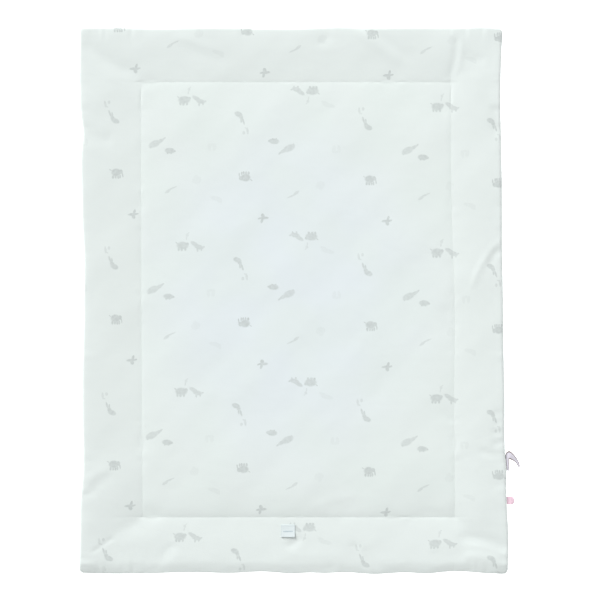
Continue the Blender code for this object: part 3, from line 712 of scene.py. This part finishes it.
def quilt_mesh(quilt, chosen):
    """Front and back cloth as one closed mesh that meets at the rim seam."""
    pitches = chosen.border_pitch / MM, chosen.centre_pitch / MM
    places_x = grid_places(-quilt.half_x, -quilt.left, quilt.right, quilt.half_x, *pitches)
    places_y = grid_places(-quilt.half_y, -quilt.foot, quilt.head, quilt.half_y, *pitches)
    x, y = np.meshgrid(places_x, places_y)
    front = quilt.placed(x, y, quilt.front_height(x, y) + quilt.puckers(x, y))
    stops_x, stops_y, pull = simulated_pull(quilt, chosen)
    weights_x, weights_y = cubic_weights(places_x, stops_x), cubic_weights(places_y, stops_y)
    smooth_pull = np.einsum("ar,rck,bc->abk", weights_y, pull, weights_x, optimize=True)
    rim_x, rim_y = quilt.from_rim(x, y)
    free = np.clip(np.minimum(rim_x, rim_y) / 12, 0, 1)[..., None]
    front += smooth_pull * free
    back = quilt.placed(x, y, quilt.back_height(x, y))
    rim = np.minimum(rim_x, rim_y) <= 0
    front[rim] = back[rim]
    rows, columns = x.shape
    flat_places = np.stack([x, y], axis=-1).reshape(-1, 2) * MM
    bm = bmesh.new()
    cut = bm.loops.layers.uv.new("flat_cut")
    for points, faces_down in ((front, False), (back, True)):
        grid = bmesh.ops.create_grid(bm, x_segments=columns - 1, y_segments=rows - 1, size=0.5)["verts"]
        for vert, point, place in zip(grid, points.reshape(-1, 3), flat_places.tolist()):
            vert.co = point
            for loop in vert.link_loops:
                loop[cut].uv = place
        if faces_down:
            below = list({face for vert in grid for face in vert.link_faces})
            bmesh.ops.reverse_faces(bm, faces=below)
            for face in below:
                face.material_index = 1
    rim_verts = [vert for vert in bm.verts if vert.is_boundary]
    bmesh.ops.remove_doubles(bm, verts=rim_verts, dist=FINE_MM)
    mesh = bpy.data.meshes.new("quilt")
    bm.to_mesh(mesh)
    bm.free()
    mesh.shade_smooth()
    return mesh


def node(tree, kind, inputs=None, **options):
    """A node with its options and inputs set: an input takes a value or another node's output."""
    made = tree.nodes.new(kind)
    for name, value in options.items():
        setattr(made, name, value)
    for key, value in (inputs or {}).items():
        socket = made.inputs[key]
        if isinstance(value, bpy.types.NodeSocket):
            tree.links.new(value, socket)
        else:
            socket.default_value = value
    return made


def math_node(tree, operation, *values, clamp=False):
    made = node(tree, "ShaderNodeMath", dict(enumerate(values)), operation=operation, use_clamp=clamp)
    return made.outputs[0]


def vector_node(tree, operation, *values, output="Vector", **inputs):
    chosen = {**dict(enumerate(values)), **inputs}
    return node(tree, "ShaderNodeVectorMath", chosen, operation=operation).outputs[output]


def new_material(name, colour, roughness, sheen=0.12):
    material = bpy.data.materials.new(name)
    material.use_nodes = True
    material.diffuse_color = (*colour, 1)
    shader = material.node_tree.nodes["Principled BSDF"]
    shader.inputs["Base Color"].default_value = (*colour, 1)
    shader.inputs["Roughness"].default_value = roughness
    shader.inputs["Sheen Weight"].default_value = sheen
    shader.inputs["Sheen Roughness"].default_value = 0.5
    shader.inputs["Specular IOR Level"].default_value = 0.25
    return material, shader


def flat_place(tree):
    """The flat cloth's own places, in millimetres."""
    cut = node(tree, "ShaderNodeUVMap", uv_map="flat_cut").outputs[0]
    return vector_node(tree, "SCALE", cut, Scale=1 / MM)


def noise(tree, place, size, detail=2.0, output="Fac"):
    """Soft uneven grain whose patches are about size millimetres across."""
    inputs = {"Vector": place, "Scale": 1 / size, "Detail": detail}
    return node(tree, "ShaderNodeTexNoise", inputs).outputs[output]


def blend_colour(tree, share, first, second):
    made = node(tree, "ShaderNodeMix", data_type="RGBA")
    for socket, value in ((made.inputs[0], share), (made.inputs[6], first), (made.inputs[7], second)):
        if isinstance(value, bpy.types.NodeSocket):
            tree.links.new(value, socket)
        else:
            socket.default_value = value if socket is made.inputs[0] else (*value, 1)
    return made.outputs[2]


def soft_step(tree, value, low, high, at_low=0.0, at_high=1.0):
    inputs = {"Value": value, "From Min": low, "From Max": high, "To Min": at_low, "To Max": at_high}
    return node(tree, "ShaderNodeMapRange", inputs, interpolation_type="SMOOTHSTEP").outputs[0]


def woven_bump(tree, shader, place, threads, depth, extra=()):
    """A plain weave's relief, and any other relief in millimetres, on the shader's normal."""
    apart = node(tree, "ShaderNodeSeparateXYZ", {0: place})
    ribs = []
    for axis, pitch in enumerate(threads):
        turns = math_node(tree, "MULTIPLY", apart.outputs[axis], 2 * math.pi / pitch)
        ribs.append(math_node(tree, "SINE", turns))
    height = math_node(tree, "MULTIPLY", math_node(tree, "MULTIPLY", *ribs), depth)
    for more in extra:
        height = math_node(tree, "ADD", height, more)
    bump = node(tree, "ShaderNodeBump", {"Height": height, "Distance": MM, "Strength": 1.0})
    tree.links.new(bump.outputs[0], shader.inputs["Normal"])


def small_creases(tree, place, size, depth):
    grain = noise(tree, place, size, 3.0)
    return math_node(tree, "MULTIPLY", grain, depth)


def ink_cover(tree, place):
    """How much ink lies at each place of the flat cloth: 0 bare, 1 full."""
    det = REPEAT_ACROSS.x * REPEAT_DOWN.y - REPEAT_ACROSS.y * REPEAT_DOWN.x
    to_column = Vector((REPEAT_DOWN.y, -REPEAT_DOWN.x, 0)) / det
    to_row = Vector((-REPEAT_ACROSS.y, REPEAT_ACROSS.x, 0)) / det
    from_start = vector_node(tree, "SUBTRACT", place, REPEAT_START)
    column, row = (
        math_node(tree, "FLOOR", vector_node(tree, "DOT_PRODUCT", from_start, way, output="Value"))
        for way in (to_column, to_row)
    )
    cell_x = vector_node(tree, "SCALE", REPEAT_ACROSS, Scale=column)
    cell_y = vector_node(tree, "SCALE", REPEAT_DOWN, Scale=row)
    in_cell = vector_node(tree, "SUBTRACT", vector_node(tree, "SUBTRACT", from_start, cell_x), cell_y)
    turned = math_node(tree, "FLOORED_MODULO", column, 2.0)
    sign = math_node(tree, "MULTIPLY_ADD", turned, -2.0, 1.0)
    cover = None
    for motif in MOTIFS:
        step = (motif.next_x - motif.x, motif.next_y - motif.y, 0)
        middle = vector_node(tree, "SCALE", step, Scale=turned)
        middle = vector_node(tree, "ADD", middle, (motif.x, motif.y, 0))
        local = vector_node(tree, "SCALE", vector_node(tree, "SUBTRACT", in_cell, middle), Scale=sign)
        nearest = None
        for dab in INK_DABS[motif.name]:
            inputs = {
                "Vector": local,
                "Location": (dab.x, dab.y, 0),
                "Rotation": (0, 0, math.radians(dab.turn)),
                "Scale": (dab.long / 2, dab.wide / 2, 1),
            }
            within = node(tree, "ShaderNodeMapping", inputs, vector_type="TEXTURE").outputs[0]
            away = vector_node(tree, "LENGTH", within, output="Value")
            nearest = away if nearest is None else math_node(tree, "MINIMUM", nearest, away)
        inked = soft_step(tree, nearest, 0.74, 1.2, motif.ink, 0.0)
        cover = inked if cover is None else math_node(tree, "MAXIMUM", cover, inked)
    return cover


def printed_cotton(chosen):
    material, shader = new_material("printed_cotton_front", chosen.cotton, 0.88)
    tree = material.node_tree
    place = flat_place(tree)
    ragged = noise(tree, place, 3.2, 2.0, output="Color")
    ragged = vector_node(tree, "MULTIPLY_ADD", ragged, (1.6, 1.6, 0), (-0.8, -0.8, 0))
    cover = ink_cover(tree, vector_node(tree, "ADD", place, ragged))
    washed = soft_step(tree, noise(tree, place, 5.0, 3.0), 0.3, 0.7, 0.62, 0.9)
    cover = math_node(tree, "MULTIPLY", cover, washed)
    # Painted cool light: the ground is painted bluish towards the middle, standing in for a cool reflection
    # of the lighting there
    from_middle = vector_node(tree, "MULTIPLY", vector_node(tree, "ADD", place, (10, -10, 0)), (1, 0.8, 0))
    middle = soft_step(tree, vector_node(tree, "LENGTH", from_middle, output="Value"), 90, 330, 1, 0)
    painted_cool_light = tuple(chosen.cotton[n] * shift for n, shift in enumerate((0.985, 0.99, 1.04)))
    ground = blend_colour(tree, middle, chosen.cotton, painted_cool_light)
    patchy = soft_step(tree, noise(tree, place, 120.0, 1.0), 0.35, 0.65, 0, 0.5)
    greener = tuple(c * s for c, s in zip(chosen.cotton, (0.985, 1.0, 0.99)))
    ground = blend_colour(tree, patchy, ground, greener)
    # Painted shade: the mask built here marks the borders beyond the frame seam, which are painted 1.5 %
    # darker than the centre panel
    apart = node(tree, "ShaderNodeSeparateXYZ", {0: place})
    off_middle = []
    sides = (0, chosen.frame_left, chosen.frame_right), (1, chosen.frame_foot, chosen.frame_head)
    for axis, low, high in sides:
        from_centre = math_node(tree, "SUBTRACT", apart.outputs[axis], (high - low) / MM / 2)
        half = (high + low) / MM / 2
        off_middle.append(math_node(tree, "SUBTRACT", math_node(tree, "ABSOLUTE", from_centre), half))
    border = soft_step(tree, math_node(tree, "MAXIMUM", *off_middle), -1, 1)
    ground = blend_colour(tree, border, ground, tuple(c * 0.985 for c in chosen.cotton))
    tree.links.new(blend_colour(tree, cover, ground, chosen.ink), shader.inputs["Base Color"])
    relief = (small_creases(tree, place, 26.0, 0.55), small_creases(tree, place, 7.0, 0.10))
    woven_bump(tree, shader, place, (0.9, 0.9), 0.035, relief)
    return material


def plain_cotton(chosen):
    material, shader = new_material("plain_cotton_back", chosen.backing, 0.9)
    tree = material.node_tree
    place = flat_place(tree)
    tint = soft_step(tree, noise(tree, place, 90.0, 1.0), 0.35, 0.65)
    paler = tuple(min(1, c * 1.03) for c in chosen.backing)
    tree.links.new(blend_colour(tree, tint, chosen.backing, paler), shader.inputs["Base Color"])
    relief = (small_creases(tree, place, 30.0, 0.6), small_creases(tree, place, 8.0, 0.1))
    woven_bump(tree, shader, place, (0.9, 0.9), 0.035, relief)
    return material


def sewing_thread(name, colour):
    """Two-ply thread: fine slanting ribs along each stitch, with painted shade in the grooves between them.
    """
    material, shader = new_material(name, colour, 0.7)
    tree = material.node_tree
    where = node(tree, "ShaderNodeTexCoord").outputs["Object"]
    place = vector_node(tree, "SCALE", where, Scale=1 / MM)
    wave = node(tree, "ShaderNodeTexWave", {"Vector": place, "Scale": 0.9}, bands_direction="DIAGONAL")
    height = math_node(tree, "MULTIPLY", wave.outputs["Fac"], 0.05)
    bump = node(tree, "ShaderNodeBump", {"Height": height, "Distance": MM, "Strength": 1.0})
    tree.links.new(bump.outputs[0], shader.inputs["Normal"])
    # Painted shade: the thread is painted darker where its ribs dip, in step with the bump
    darker = tuple(c * 0.93 for c in colour)
    tree.links.new(blend_colour(tree, wave.outputs["Fac"], darker, colour), shader.inputs["Base Color"])
    return material


def band(tree, value, low, high, soft):
    """1 between two values and 0 outside them, with soft ends."""
    rising = soft_step(tree, value, low - soft, low + soft)
    return math_node(tree, "MULTIPLY", rising, soft_step(tree, value, high - soft, high + soft, 1, 0))


def woven_label(chosen):
    """Bluish white woven tape with a denser edge and one plain woven line."""
    material, shader = new_material("woven_label", chosen.label_colour, 0.75)
    tree = material.node_tree
    place = flat_place(tree)
    apart = node(tree, "ShaderNodeSeparateXYZ", {0: place})
    width, length = chosen.label_width / MM, chosen.label_length / MM
    line = math_node(
        tree,
        "MULTIPLY",
        band(tree, apart.outputs[1], 0.40 * length, 0.50 * length, 0.3),
        band(tree, apart.outputs[0], 0.16 * width, 0.84 * width, 0.3),
    )
    threads = soft_step(tree, noise(tree, place, 0.9, 1.0), 0.35, 0.65, 0.35, 0.8)
    line = math_node(tree, "MULTIPLY", line, threads)
    thread_line = tuple(c * s for c, s in zip(chosen.label_colour, (0.52, 0.6, 0.66)))
    colour = blend_colour(tree, line, chosen.label_colour, thread_line)
    selvedge = band(tree, apart.outputs[0], 1.0, width - 1.0, 0.25)
    darker = tuple(c * 0.9 for c in chosen.label_colour)
    tree.links.new(blend_colour(tree, selvedge, darker, colour), shader.inputs["Base Color"])
    woven_bump(tree, shader, place, (0.5, 0.8), 0.06, (math_node(tree, "MULTIPLY", line, 0.12),))
    return material


def satin(chosen):
    """Thin lilac white satin whose dark edge is partly its overcast thread and partly painted shade along
    its rim.
    """
    material, shader = new_material("tag_satin", chosen.tag_colour, 0.38, sheen=0.05)
    tree = material.node_tree
    place = flat_place(tree)
    across = node(tree, "ShaderNodeSeparateXYZ", {0: place}).outputs[0]
    # Painted shade together with the overcast edge: the tag's outer bands are painted dark brown-grey
    inner = band(tree, across, 2.5, 11.5, 0.6)
    edge = tuple(c * s for c, s in zip(chosen.tag_colour, (0.38, 0.33, 0.29)))
    tree.links.new(blend_colour(tree, inner, edge, chosen.tag_colour), shader.inputs["Base Color"])
    shader.inputs["Specular IOR Level"].default_value = 0.5
    woven_bump(tree, shader, place, (0.35, 1.4), 0.02, (small_creases(tree, place, 6.0, 0.35),))
    return material


def ribbon(chosen):
    """Pink ribbon with fine ribs across it and a firm selvedge."""
    material, shader = new_material("loop_ribbon", chosen.loop_colour, 0.6, sheen=0.2)
    tree = material.node_tree
    place = flat_place(tree)
    apart = node(tree, "ShaderNodeSeparateXYZ", {0: place})
    inner = band(tree, apart.outputs[0], 0.8, chosen.loop_width / MM - 0.8, 0.3)
    deeper = tuple(c * s for c, s in zip(chosen.loop_colour, (0.95, 0.8, 0.86)))
    tree.links.new(blend_colour(tree, inner, deeper, chosen.loop_colour), shader.inputs["Base Color"])
    turns = math_node(tree, "MULTIPLY", apart.outputs[1], 2 * math.pi / 0.9)
    ribs = math_node(tree, "MULTIPLY", math_node(tree, "SINE", turns), 0.08)
    woven_bump(tree, shader, place, (0.4, 0.4), 0.02, (ribs,))
    return material


def add_object(name, mesh, *materials):
    for material in materials:
        mesh.materials.append(material)
    made = bpy.data.objects.new(name, mesh)
    bpy.context.collection.objects.link(made)
    return made


def plain_copy(name, source, material):
    """A finished mesh object from another object's evaluated shape, with the material on all of it."""
    graph = bpy.context.evaluated_depsgraph_get()
    mesh = bpy.data.meshes.new_from_object(source.evaluated_get(graph))
    mesh.name = name
    mesh.materials.clear()
    bpy.data.objects.remove(source, do_unlink=True)
    mesh.shade_smooth()
    return add_object(name, mesh, material)


def strip(name, points, flat, thickness, material):
    """A strip of cloth from rows of points, in metres, with its flat cut as its UV map."""
    rows, columns = points.shape[:2]
    width, length = flat
    sheet = cloth_grid(name + "_middle", points)
    mesh = sheet.data
    cut = mesh.uv_layers.new(name="flat_cut")
    for loop in mesh.loops:
        row, column = divmod(loop.vertex_index, columns)
        cut.data[loop.index].uv = (column / (columns - 1) * width, row / (rows - 1) * length)
    shell = sheet.modifiers.new("thickness", "SOLIDIFY")
    shell.thickness = thickness
    shell.offset = 0.0
    shell.use_even_offset = True
    rounded = sheet.modifiers.new("rounded edge", "BEVEL")
    rounded.width = thickness * 0.3
    rounded.segments = 2
    rounded.limit_method = "ANGLE"
    rounded.angle_limit = math.radians(50)
    return plain_copy(name, sheet, material)


def front_cloth(quilt_object):
    """The quilt's surface, for laying things on it."""
    return BVHTree.FromObject(quilt_object, bpy.context.evaluated_depsgraph_get())


def surface_z(cloth, x, y, from_above=True):
    """Height of the quilt's front or back at a place, in metres."""
    start = Vector((x, y, 0.2 if from_above else -0.2))
    return cloth.ray_cast(start, Vector((0, 0, -1 if from_above else 1)))[0].z


def seam_path(points):
    """A closed or open run of edges through points, for the stitches to follow."""
    mesh = bpy.data.meshes.new("stitch_path")
    last = len(points) - 1
    closed = (Vector(points[0]) - Vector(points[-1])).length < 3 * MM
    edges = [(n, n + 1) for n in range(last)] + ([(last, 0)] if closed else [])
    mesh.from_pydata([tuple(point) for point in points], edges, [])
    path = bpy.data.objects.new("stitch_path", mesh)
    bpy.context.collection.objects.link(path)
    return path


def stitch_tree():
    """Geometry nodes that lay one stitch after another along a run of edges."""
    tree = bpy.data.node_groups.new("running_stitch", "GeometryNodeTree")
    face = tree.interface
    face.new_socket("Path", in_out="INPUT", socket_type="NodeSocketGeometry")
    for name in ("Stitch Pitch", "Stitch Length", "Thread"):
        face.new_socket(name, in_out="INPUT", socket_type="NodeSocketFloat")
    face.new_socket("Seed", in_out="INPUT", socket_type="NodeSocketInt")
    face.new_socket("Thread Material", in_out="INPUT", socket_type="NodeSocketMaterial")
    face.new_socket("Stitches", in_out="OUTPUT", socket_type="NodeSocketGeometry")
    given = node(tree, "NodeGroupInput").outputs
    line = node(tree, "GeometryNodeMeshToCurve", {"Mesh": given["Path"]}).outputs[0]
    spaced = node(
        tree, "GeometryNodeResampleCurve", {"Curve": line, "Length": given["Stitch Pitch"]}, mode="LENGTH"
    ).outputs[0]
    sphere = node(tree, "GeometryNodeMeshUVSphere", {"Segments": 8, "Rings": 6, "Radius": 0.5})
    bead = sphere.outputs["Mesh"]
    tangent = node(tree, "GeometryNodeInputTangent").outputs[0]
    turn = node(tree, "FunctionNodeAlignEulerToVector", {"Vector": tangent}, axis="X").outputs[0]
    sway = node(
        tree,
        "FunctionNodeRandomValue",
        {0: (-0.02, -0.02, -0.07), 1: (0.02, 0.02, 0.07), "Seed": given["Seed"]},
        data_type="FLOAT_VECTOR",
    ).outputs[0]
    turn = node(tree, "FunctionNodeRotateEuler", {0: turn, "Rotate By": sway}).outputs[0]
    stretch = node(
        tree,
        "FunctionNodeRandomValue",
        {2: 0.9, 3: 1.08, "Seed": given["Seed"]},
        data_type="FLOAT",
    ).outputs[1]
    long_side = node(tree, "ShaderNodeMath", {0: given["Stitch Length"], 1: stretch}, operation="MULTIPLY")
    size = node(
        tree,
        "ShaderNodeCombineXYZ",
        {"X": long_side.outputs[0], "Y": given["Thread"], "Z": given["Thread"]},
    ).outputs[0]
    placed = node(
        tree,
        "GeometryNodeInstanceOnPoints",
        {"Points": spaced, "Instance": bead, "Rotation": turn, "Scale": size},
    ).outputs[0]
    real = node(tree, "GeometryNodeRealizeInstances", {0: placed}).outputs[0]
    dressed = node(
        tree, "GeometryNodeSetMaterial", {"Geometry": real, "Material": given["Thread Material"]}
    ).outputs[0]
    node(tree, "NodeGroupOutput", {0: dressed})
    return tree


def run_stitches(name, points, chosen, material, seed):
    """Stitches along the points, as one plain mesh."""
    path = seam_path(points)
    tree = bpy.data.node_groups.get("running_stitch") or stitch_tree()
    maker = path.modifiers.new("stitches", "NODES")
    maker.node_group = tree
    values = {
        "Stitch Pitch": chosen.stitch_pitch,
        "Stitch Length": chosen.stitch_length,
        "Thread": chosen.thread,
        "Seed": seed,
        "Thread Material": material,
    }
    for item in tree.interface.items_tree:
        if item.in_out == "INPUT" and item.name in values:
            maker[item.identifier] = values[item.name]
    return plain_copy(name, path, material)


class CRADLE_OT_quilt(bpy.types.Operator):
    """Make the filled quilt with its printed front and plain back"""

    bl_idname = "cradle.quilt"
    bl_label = "Quilt"

    def execute(self, context):
        chosen = settings().quilt
        mesh = quilt_mesh(Quilt(chosen), chosen)
        made = add_object("quilt", mesh, printed_cotton(chosen), plain_cotton(chosen))
        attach(made, "root")
        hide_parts("quilt_pad")
        return {"FINISHED"}


class CRADLE_OT_frame_stitches(bpy.types.Operator):
    """Sew the frame seam through the quilt, seen from the front and from the back"""

    bl_idname = "cradle.frame_stitches"
    bl_label = "Frame stitches"

    def execute(self, context):
        chosen = settings().trim
        quilt = Quilt(settings().quilt)
        cloth = front_cloth(bpy.data.objects["quilt"])
        thread = sewing_thread("quilting_thread", chosen.thread_colour)
        corners = (
            (-quilt.left, -quilt.foot), (quilt.right, -quilt.foot), (quilt.right, quilt.head),
            (-quilt.left, quilt.head), (-quilt.left, -quilt.foot),
        )
        flat = []
        for start, end in zip(corners, corners[1:]):
            count = round(math.dist(start, end) / 2)
            flat += [tuple(a + (b - a) * n / count for a, b in zip(start, end))
                     for n in range(count)]
        flat = np.array(flat)
        placed = quilt.placed(flat[:, 0], flat[:, 1], np.zeros(len(flat)))
        for name, above, seed in (("frame_stitches_front", True, 3), ("frame_stitches_back", False, 8)):
            out = chosen.thread * (0.12 if above else -0.12)
            points = [(x, y, surface_z(cloth, x, y, above) + out) for x, y, _ in placed]
            made = run_stitches(name, points, chosen, thread, seed)
            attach(made, "root")
        return {"FINISHED"}


class CRADLE_OT_label(bpy.types.Operator):
    """Sew the woven label to the foot border by its upper edge"""

    bl_idname = "cradle.label"
    bl_label = "Woven label"

    def execute(self, context):
        chosen = settings().trim
        quilt = Quilt(settings().quilt)
        cloth = front_cloth(bpy.data.objects["quilt"])
        rows, columns = 19, 21
        points = np.zeros((rows, columns, 3))
        for row in range(rows):
            for column in range(columns):
                up, across = row / (rows - 1), column / (columns - 1)
                x = quilt.shift_x * MM - chosen.label_x + chosen.label_width * (across - 0.5)
                y = quilt.shift_y * MM - chosen.label_y + chosen.label_length * (up - 0.5)
                lift = chosen.label_lift * (1 - up) ** 2 * (0.55 + 0.45 * across)
                points[row, column] = (x, y, surface_z(cloth, x, y) + 0.45 * MM + lift)
        made = strip("front_label_cloth", points, (chosen.label_width, chosen.label_length), 0.6 * MM,
                     woven_label(chosen))
        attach(made, "root")
        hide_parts("front_label")
        top = points[-3]
        sewn = [Vector(point) + Vector((0, 0, 0.3 * MM)) for point in top[1:-1]]
        thread = sewing_thread("label_thread", chosen.label_colour)
        stitches = run_stitches("label_stitches", sewn, chosen, thread, 5)
        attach(stitches, "root")
        return {"FINISHED"}


def smooth_rows(rows, count):
    """More rows through the given ones, on a smooth curve."""
    stops = np.arange(len(rows), dtype=float)
    places = np.linspace(0, len(rows) - 1, count)
    return cubic_weights(places, stops) @ np.array(rows, float)


class CRADLE_OT_side_tag(bpy.types.Operator):
    """Sew the satin tag into the rim, with its loose end curled"""

    bl_idname = "cradle.side_tag"
    bl_label = "Satin tag"

    def execute(self, context):
        chosen = settings().trim
        quilt = Quilt(settings().quilt)
        rows = []
        for row in TAG_ROWS:
            outer_x = quilt.rim_x(row.outer_y) + 0.3 if row.outer_x is SEWN_IN else row.outer_x
            rows.append((outer_x, row.outer_y, row.outer_z, row.inner_x, row.inner_y, row.inner_z))
        fine = smooth_rows(rows, 61)
        shares = np.linspace(0, 1, 13)[None, :, None]
        points = fine[:, None, :3] * (1 - shares) + fine[:, None, 3:] * shares
        points += np.array([quilt.shift_x, quilt.shift_y, 0])
        length = float(np.linalg.norm(np.diff((fine[:, :3] + fine[:, 3:]) / 2, axis=0), axis=1).sum())
        width = float(np.linalg.norm(fine[:, :3] - fine[:, 3:], axis=1).mean())
        flat = (width * MM, length * MM)
        made = strip("side_tag_satin", points * MM, (14 * MM, flat[1]), chosen.tag_thickness, satin(chosen))
        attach(made, "root")
        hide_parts("side_tag")
        return {"FINISHED"}


class CRADLE_OT_ribbon_loop(bpy.types.Operator):
    """Sew the folded ribbon loop into the rim"""

    bl_idname = "cradle.ribbon_loop"
    bl_label = "Ribbon loop"

    def execute(self, context):
        chosen = settings().trim
        quilt = Quilt(settings().quilt)
        thickness = 0.7
        reach, width = chosen.loop_reach / MM - 0.3 - thickness / 2, chosen.loop_width / MM
        root, belly_radius = thickness / 2 + 0.15, 1.7
        rows, columns = 61, 13
        points = np.zeros((rows, columns, 3))
        for row in range(rows):
            lengthways = row / (rows - 1)
            leaf = 1 - abs(2 * lengthways - 1)
            fold = math.sqrt(max(1 - leaf**3, 0))
            belly = root + (belly_radius - root) * math.sin(math.pi * min(leaf * 1.25, 1))
            side = 1 if lengthways < 0.5 else -1
            for column in range(columns):
                across = column / (columns - 1)
                y = -chosen.loop_y / MM + width * (across - 0.5) * (1 - chosen.loop_rounding / 2 * leaf**4)
                rounded_end = 1 - chosen.loop_rounding * (2 * across - 1) ** 4
                x = quilt.rim_x(y) + 0.3 + math.sin(leaf * math.pi / 2) * reach * rounded_end
                points[row, column] = (x, y, quilt.rim_height + side * belly * fold)
        points += np.array([quilt.shift_x, quilt.shift_y, 0])
        middle = points[:, columns // 2]
        length = float(np.linalg.norm(np.diff(middle, axis=0), axis=1).sum())
        flat = (chosen.loop_width, length * MM)
        made = strip("pink_ribbon", points * MM, flat, thickness * MM, ribbon(chosen))
        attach(made, "root")
        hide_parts("pink_loop")
        return {"FINISHED"}


def aim(thing, azimuth, elevation):
    """Turns a lamp to shine from an azimuth, counted from +X towards +Y, and an elevation."""
    level = math.cos(elevation)
    towards = Vector((level * math.cos(azimuth), level * math.sin(azimuth), math.sin(elevation)))
    thing.rotation_euler = towards.to_track_quat("Z", "Y").to_euler()


class CRADLE_OT_stage(bpy.types.Operator):
    """Set the pale floor, the soft lights and the camera above the quilt"""

    bl_idname = "cradle.stage"
    bl_label = "Stage"

    def execute(self, context):
        chosen = settings().stage
        quilt = Quilt(settings().quilt)
        scene = context.scene
        bm = bmesh.new()
        bmesh.ops.create_grid(bm, x_segments=1, y_segments=1, size=6.0)
        bmesh.ops.translate(bm, vec=(0, 0, -0.3 * MM), verts=bm.verts)
        mesh = bpy.data.meshes.new("floor")
        bm.to_mesh(mesh)
        bm.free()
        material, shader = new_material("pale_floor", chosen.floor_colour, 0.9, sheen=0.0)
        shader.inputs["Specular IOR Level"].default_value = 0.0
        shader.inputs["Emission Color"].default_value = (1, 1, 1, 1)
        shader.inputs["Emission Strength"].default_value = chosen.floor_glow
        floor = add_object("floor", mesh, material)

        key = bpy.data.lights.new("key", "SUN")
        key.energy = chosen.key_strength
        key.angle = chosen.key_softness
        key.color = (1.0, 1.0, 1.0)
        lamp = bpy.data.objects.new("key", key)
        aim(lamp, chosen.key_azimuth, chosen.key_elevation)
        scene.collection.objects.link(lamp)

        world = bpy.data.worlds.new("studio")
        world.use_nodes = True
        background = world.node_tree.nodes["Background"]
        background.inputs["Color"].default_value = (1, 1, 1, 1)
        background.inputs["Strength"].default_value = chosen.fill_strength
        scene.world = world

        camera = bpy.data.objects.new("camera", bpy.data.cameras.new("camera"))
        camera.data.lens = chosen.lens
        camera.data.sensor_width = 36
        camera.location = (
            chosen.camera_x + quilt.shift_x * MM,
            chosen.camera_y + quilt.shift_y * MM,
            chosen.camera_height,
        )
        scene.collection.objects.link(camera)
        scene.camera = camera
        scene.view_settings.view_transform = "Standard"
        return {"FINISHED"}


class CRADLE_PT_blanket(bpy.types.Panel):
    """Lists what the blanket is made of"""

    bl_idname = "CRADLE_PT_blanket"
    bl_label = "Cradle blanket"
    bl_space_type = "VIEW_3D"
    bl_region_type = "UI"
    bl_category = "Blanket"

    def draw(self, context):
        for group, operators in PANEL_ROWS:
            box = self.layout.box()
            for operator in operators:
                box.operator(operator.bl_idname)
            chosen = getattr(settings(), group)
            for name in chosen.__annotations__:
                box.prop(chosen, name)


PANEL_ROWS = (
    ("quilt", (CRADLE_OT_quilt,)),
    ("trim", (CRADLE_OT_frame_stitches, CRADLE_OT_label, CRADLE_OT_side_tag, CRADLE_OT_ribbon_loop)),
    ("stage", (CRADLE_OT_stage,)),
)
CLASSES = (
    QuiltSettings, TrimSettings, StageSettings, BlanketSettings, CRADLE_OT_quilt, CRADLE_OT_frame_stitches,
    CRADLE_OT_label, CRADLE_OT_side_tag, CRADLE_OT_ribbon_loop, CRADLE_OT_stage, CRADLE_PT_blanket,
)


def register():
    for kind in CLASSES:
        bpy.utils.register_class(kind)
    bpy.types.Scene.cradle_blanket = PointerProperty(type=BlanketSettings)


def unregister():
    del bpy.types.Scene.cradle_blanket
    for kind in reversed(CLASSES):
        bpy.utils.unregister_class(kind)


def main():
    register()
    bpy.ops.cradle.quilt()
    bpy.ops.cradle.frame_stitches()
    bpy.ops.cradle.label()
    bpy.ops.cradle.side_tag()
    bpy.ops.cradle.ribbon_loop()
    bpy.ops.cradle.stage()


if __name__ == "__main__":
    main()
